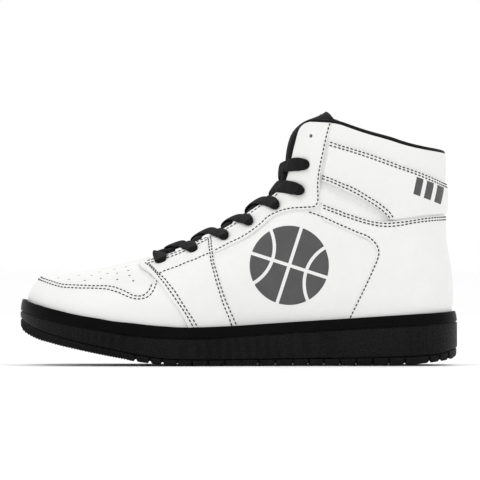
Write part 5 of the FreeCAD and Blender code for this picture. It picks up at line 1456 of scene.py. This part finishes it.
def crossing(i, side, up):
    s0, y0 = EY[i]
    s1, y1 = EY[i + 1]
    g0, g1 = float(GL(s0)), float(GL(s1))
    ya, yb = g0 + 2.0, -end_y(i + 1, 2.1)
    y = np.linspace(ya, yb, 500)
    fs = np.clip((ya - y) / (ya - yb - 2.0), 0, 1)
    st = (0.20, 0.04, 0.09, 0.11, 0.30, 0.25)[i]
    fs = fs + 0.8 * fs ** 2 * (1 - fs)
    s = s0 + (s1 - s0) * (st + (1 - st) * fs)
    B = lace_base(s, side * y)
    L_ = run_length(B)
    t = np.linspace(0, 1, 96)
    pick = L_[-1] * (1 - (1 - t) ** 1.35)
    y, s = np.interp(pick, L_, y), np.interp(pick, L_, s)
    f = pick / L_[-1]
    rest = L_[-1] - pick
    P = lace_base(s, side * y)
    N = lace_normal(s, side * y)
    under = smooth((y - (g0 - 4.5)) / 4.5)
    over_ = smooth((-y - (g1 - 5.0)) / 4.5)
    cross = np.exp(-(y / 9.5) ** 4)
    jit = 0.15 * math.sin(i * 2.1 + side)
    o = 0.15 + jit + (1.95 if up else 0.0) * cross + 0.5 * (1 - cross) * (1 - under)
    o = o + (1.0, 0.9, 0.5, 0.1, 0.0, 0.0)[i] * np.exp(-((y + 1.5) / 8.5) ** 4)
    o = o * (1 - under) + (-2.6) * under
    th = LACE_T * (1 + 0.45 * smooth((7.0 - rest) / 6.0)) * (0.25 + 0.75 * round_tip(rest, 3.0))
    P = P + N * o[:, None]
    P, N = lie(P, N, over_, th)
    P = P - N * (1.5 * smooth((3.2 - rest) / 3.2))[:, None]
    wd = LACE_W * (1 - 0.12 * smooth((9.0 - rest) / 5.0)) * (0.12 + 0.88 * round_tip(rest, 4.6)) * (1 + 0.03 * np.sin(f * 9 + i))
    # a slow twist gives each crossing its own lie
    tw = np.radians((8.0 * math.sin(1.7 * i + side * 0.9)) * np.sin(np.pi * np.clip(f * 1.15, 0, 1)) ** 2)
    Dv = np.gradient(P, axis=0)
    Dv /= np.linalg.norm(Dv, axis=1, keepdims=True)
    N = N * np.cos(tw)[:, None] + np.cross(Dv, N) * np.sin(tw)[:, None]
    return P, N, wd, th


def bar():
    s0, y0 = EY[0]
    ym = end_y(0, 2.3)
    y = np.linspace(-ym, ym, 601)
    B = lace_base(s0 + 0 * y, y)
    L_ = run_length(B)
    t = np.linspace(-1, 1, 121)
    pick = L_[-1] / 2 * (1 + np.sign(t) * (1 - (1 - np.abs(t)) ** 1.3))
    y = np.interp(pick, L_, y)
    rest = np.minimum(pick, L_[-1] - pick)
    g = float(GL(s0))
    over_ = smooth((np.abs(y) - (g - 5.0)) / 4.5)
    sb = s0 + 0.010 * (1 - over_)
    P, N = lace_base(sb, y), lace_normal(np.maximum(sb, 0.03), y)
    th = LACE_T * (1 + 0.45 * smooth((7.0 - rest) / 6.0)) * (0.25 + 0.75 * round_tip(rest, 3.0))
    P, N = lie(P + N * (0.7 + 0.7 * (1 - over_))[:, None], N, over_, th)
    P = P - N * (1.5 * smooth((3.2 - rest) / 3.2))[:, None]
    wd = LACE_W * (1 - 0.14 * (1 - over_)) * (0.12 + 0.88 * round_tip(rest, 4.6))
    return P, N, wd, th


ribbon([bar()], "lace_bar", M_LACE)
ribbon([crossing(i, 1.0, True) for i in range(6)], "laces_to_lateral", M_LACE)
ribbon([crossing(i, -1.0, False) for i in range(6)], "laces_to_medial", M_LACE)

# =====================================================================
# what each piece is, what it stands for and what it moves with
# =====================================================================
STANDS = {
    "vamp": ("leather_toe", ["vamp_toe_box"]), "toe_cap_leather": ("leather_overlay", ["toe_cap"]),
    "quarter_lateral_leather": ("leather_base", ["quarter_lateral"]), "quarter_medial_leather": ("leather_base", ["quarter_medial"]),
    "collar_leather": ("leather_base", ["ankle_collar"]), "heel_panel_leather": ("leather_overlay", ["heel_panel"]),
    "ankle_panel_leather": ("leather_overlay", ["ankle_panel"]), "saddle_lateral_leather": ("leather_overlay", ["saddle_lateral"]),
    "saddle_medial_leather": ("leather_overlay", ["saddle_medial"]), "eyelet_stay_lateral_leather": ("leather_overlay", ["eyelet_stay_lateral"]),
    "eyelet_stay_medial_leather": ("leather_overlay", ["eyelet_stay_medial"]), "cupsole_wall_rubber": ("rubber_wall", ["cupsole_wall"]),
    "outsole_tread_rubber": ("rubber_tread", ["outsole_tread"]), "footbed_insole": ("footbed", ["footbed"]),
    "quarter_lining_mesh": ("lining_black", ["quarter_lining"]), "collar_pad_lining": ("binding_black", ["collar_binding", "collar_lining", "collar_padding"]),
    "tongue_pad": ("tongue_cloth", ["tongue_shell", "tongue_padding", "tongue_lining"]),
    "lace_bar": ("lace_black", ["lace_bottom_bar"]), "laces_to_lateral": ("lace_black", ["lace_to_lateral"]),
    "laces_to_medial": ("lace_black", ["lace_to_medial"]),
}
for name, ob in list(OBJ.items()):
    if name in STANDS:
        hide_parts(*STANDS[name][1])
    if name in ("tongue_pad", "stitch_tongue"):
        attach(ob, "tongue")
    else:
        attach(ob, "shoe")
for node, mat in (("midsole_core", M_FOAM), ("lasting_board", M_BOARD), ("toe_puff", M_STIFF), ("heel_counter", M_STIFF), ("vamp_lining", M_LINING)):
    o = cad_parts[node]
    if not o.material_slots:
        o.data.materials.append(mat)
    for sl in o.material_slots:
        sl.material = mat

bpy.ops.mesh.primitive_plane_add(size=24)
floor = bpy.context.object
floor.name = "floor"
floor.data.materials.append(M_FLOOR)
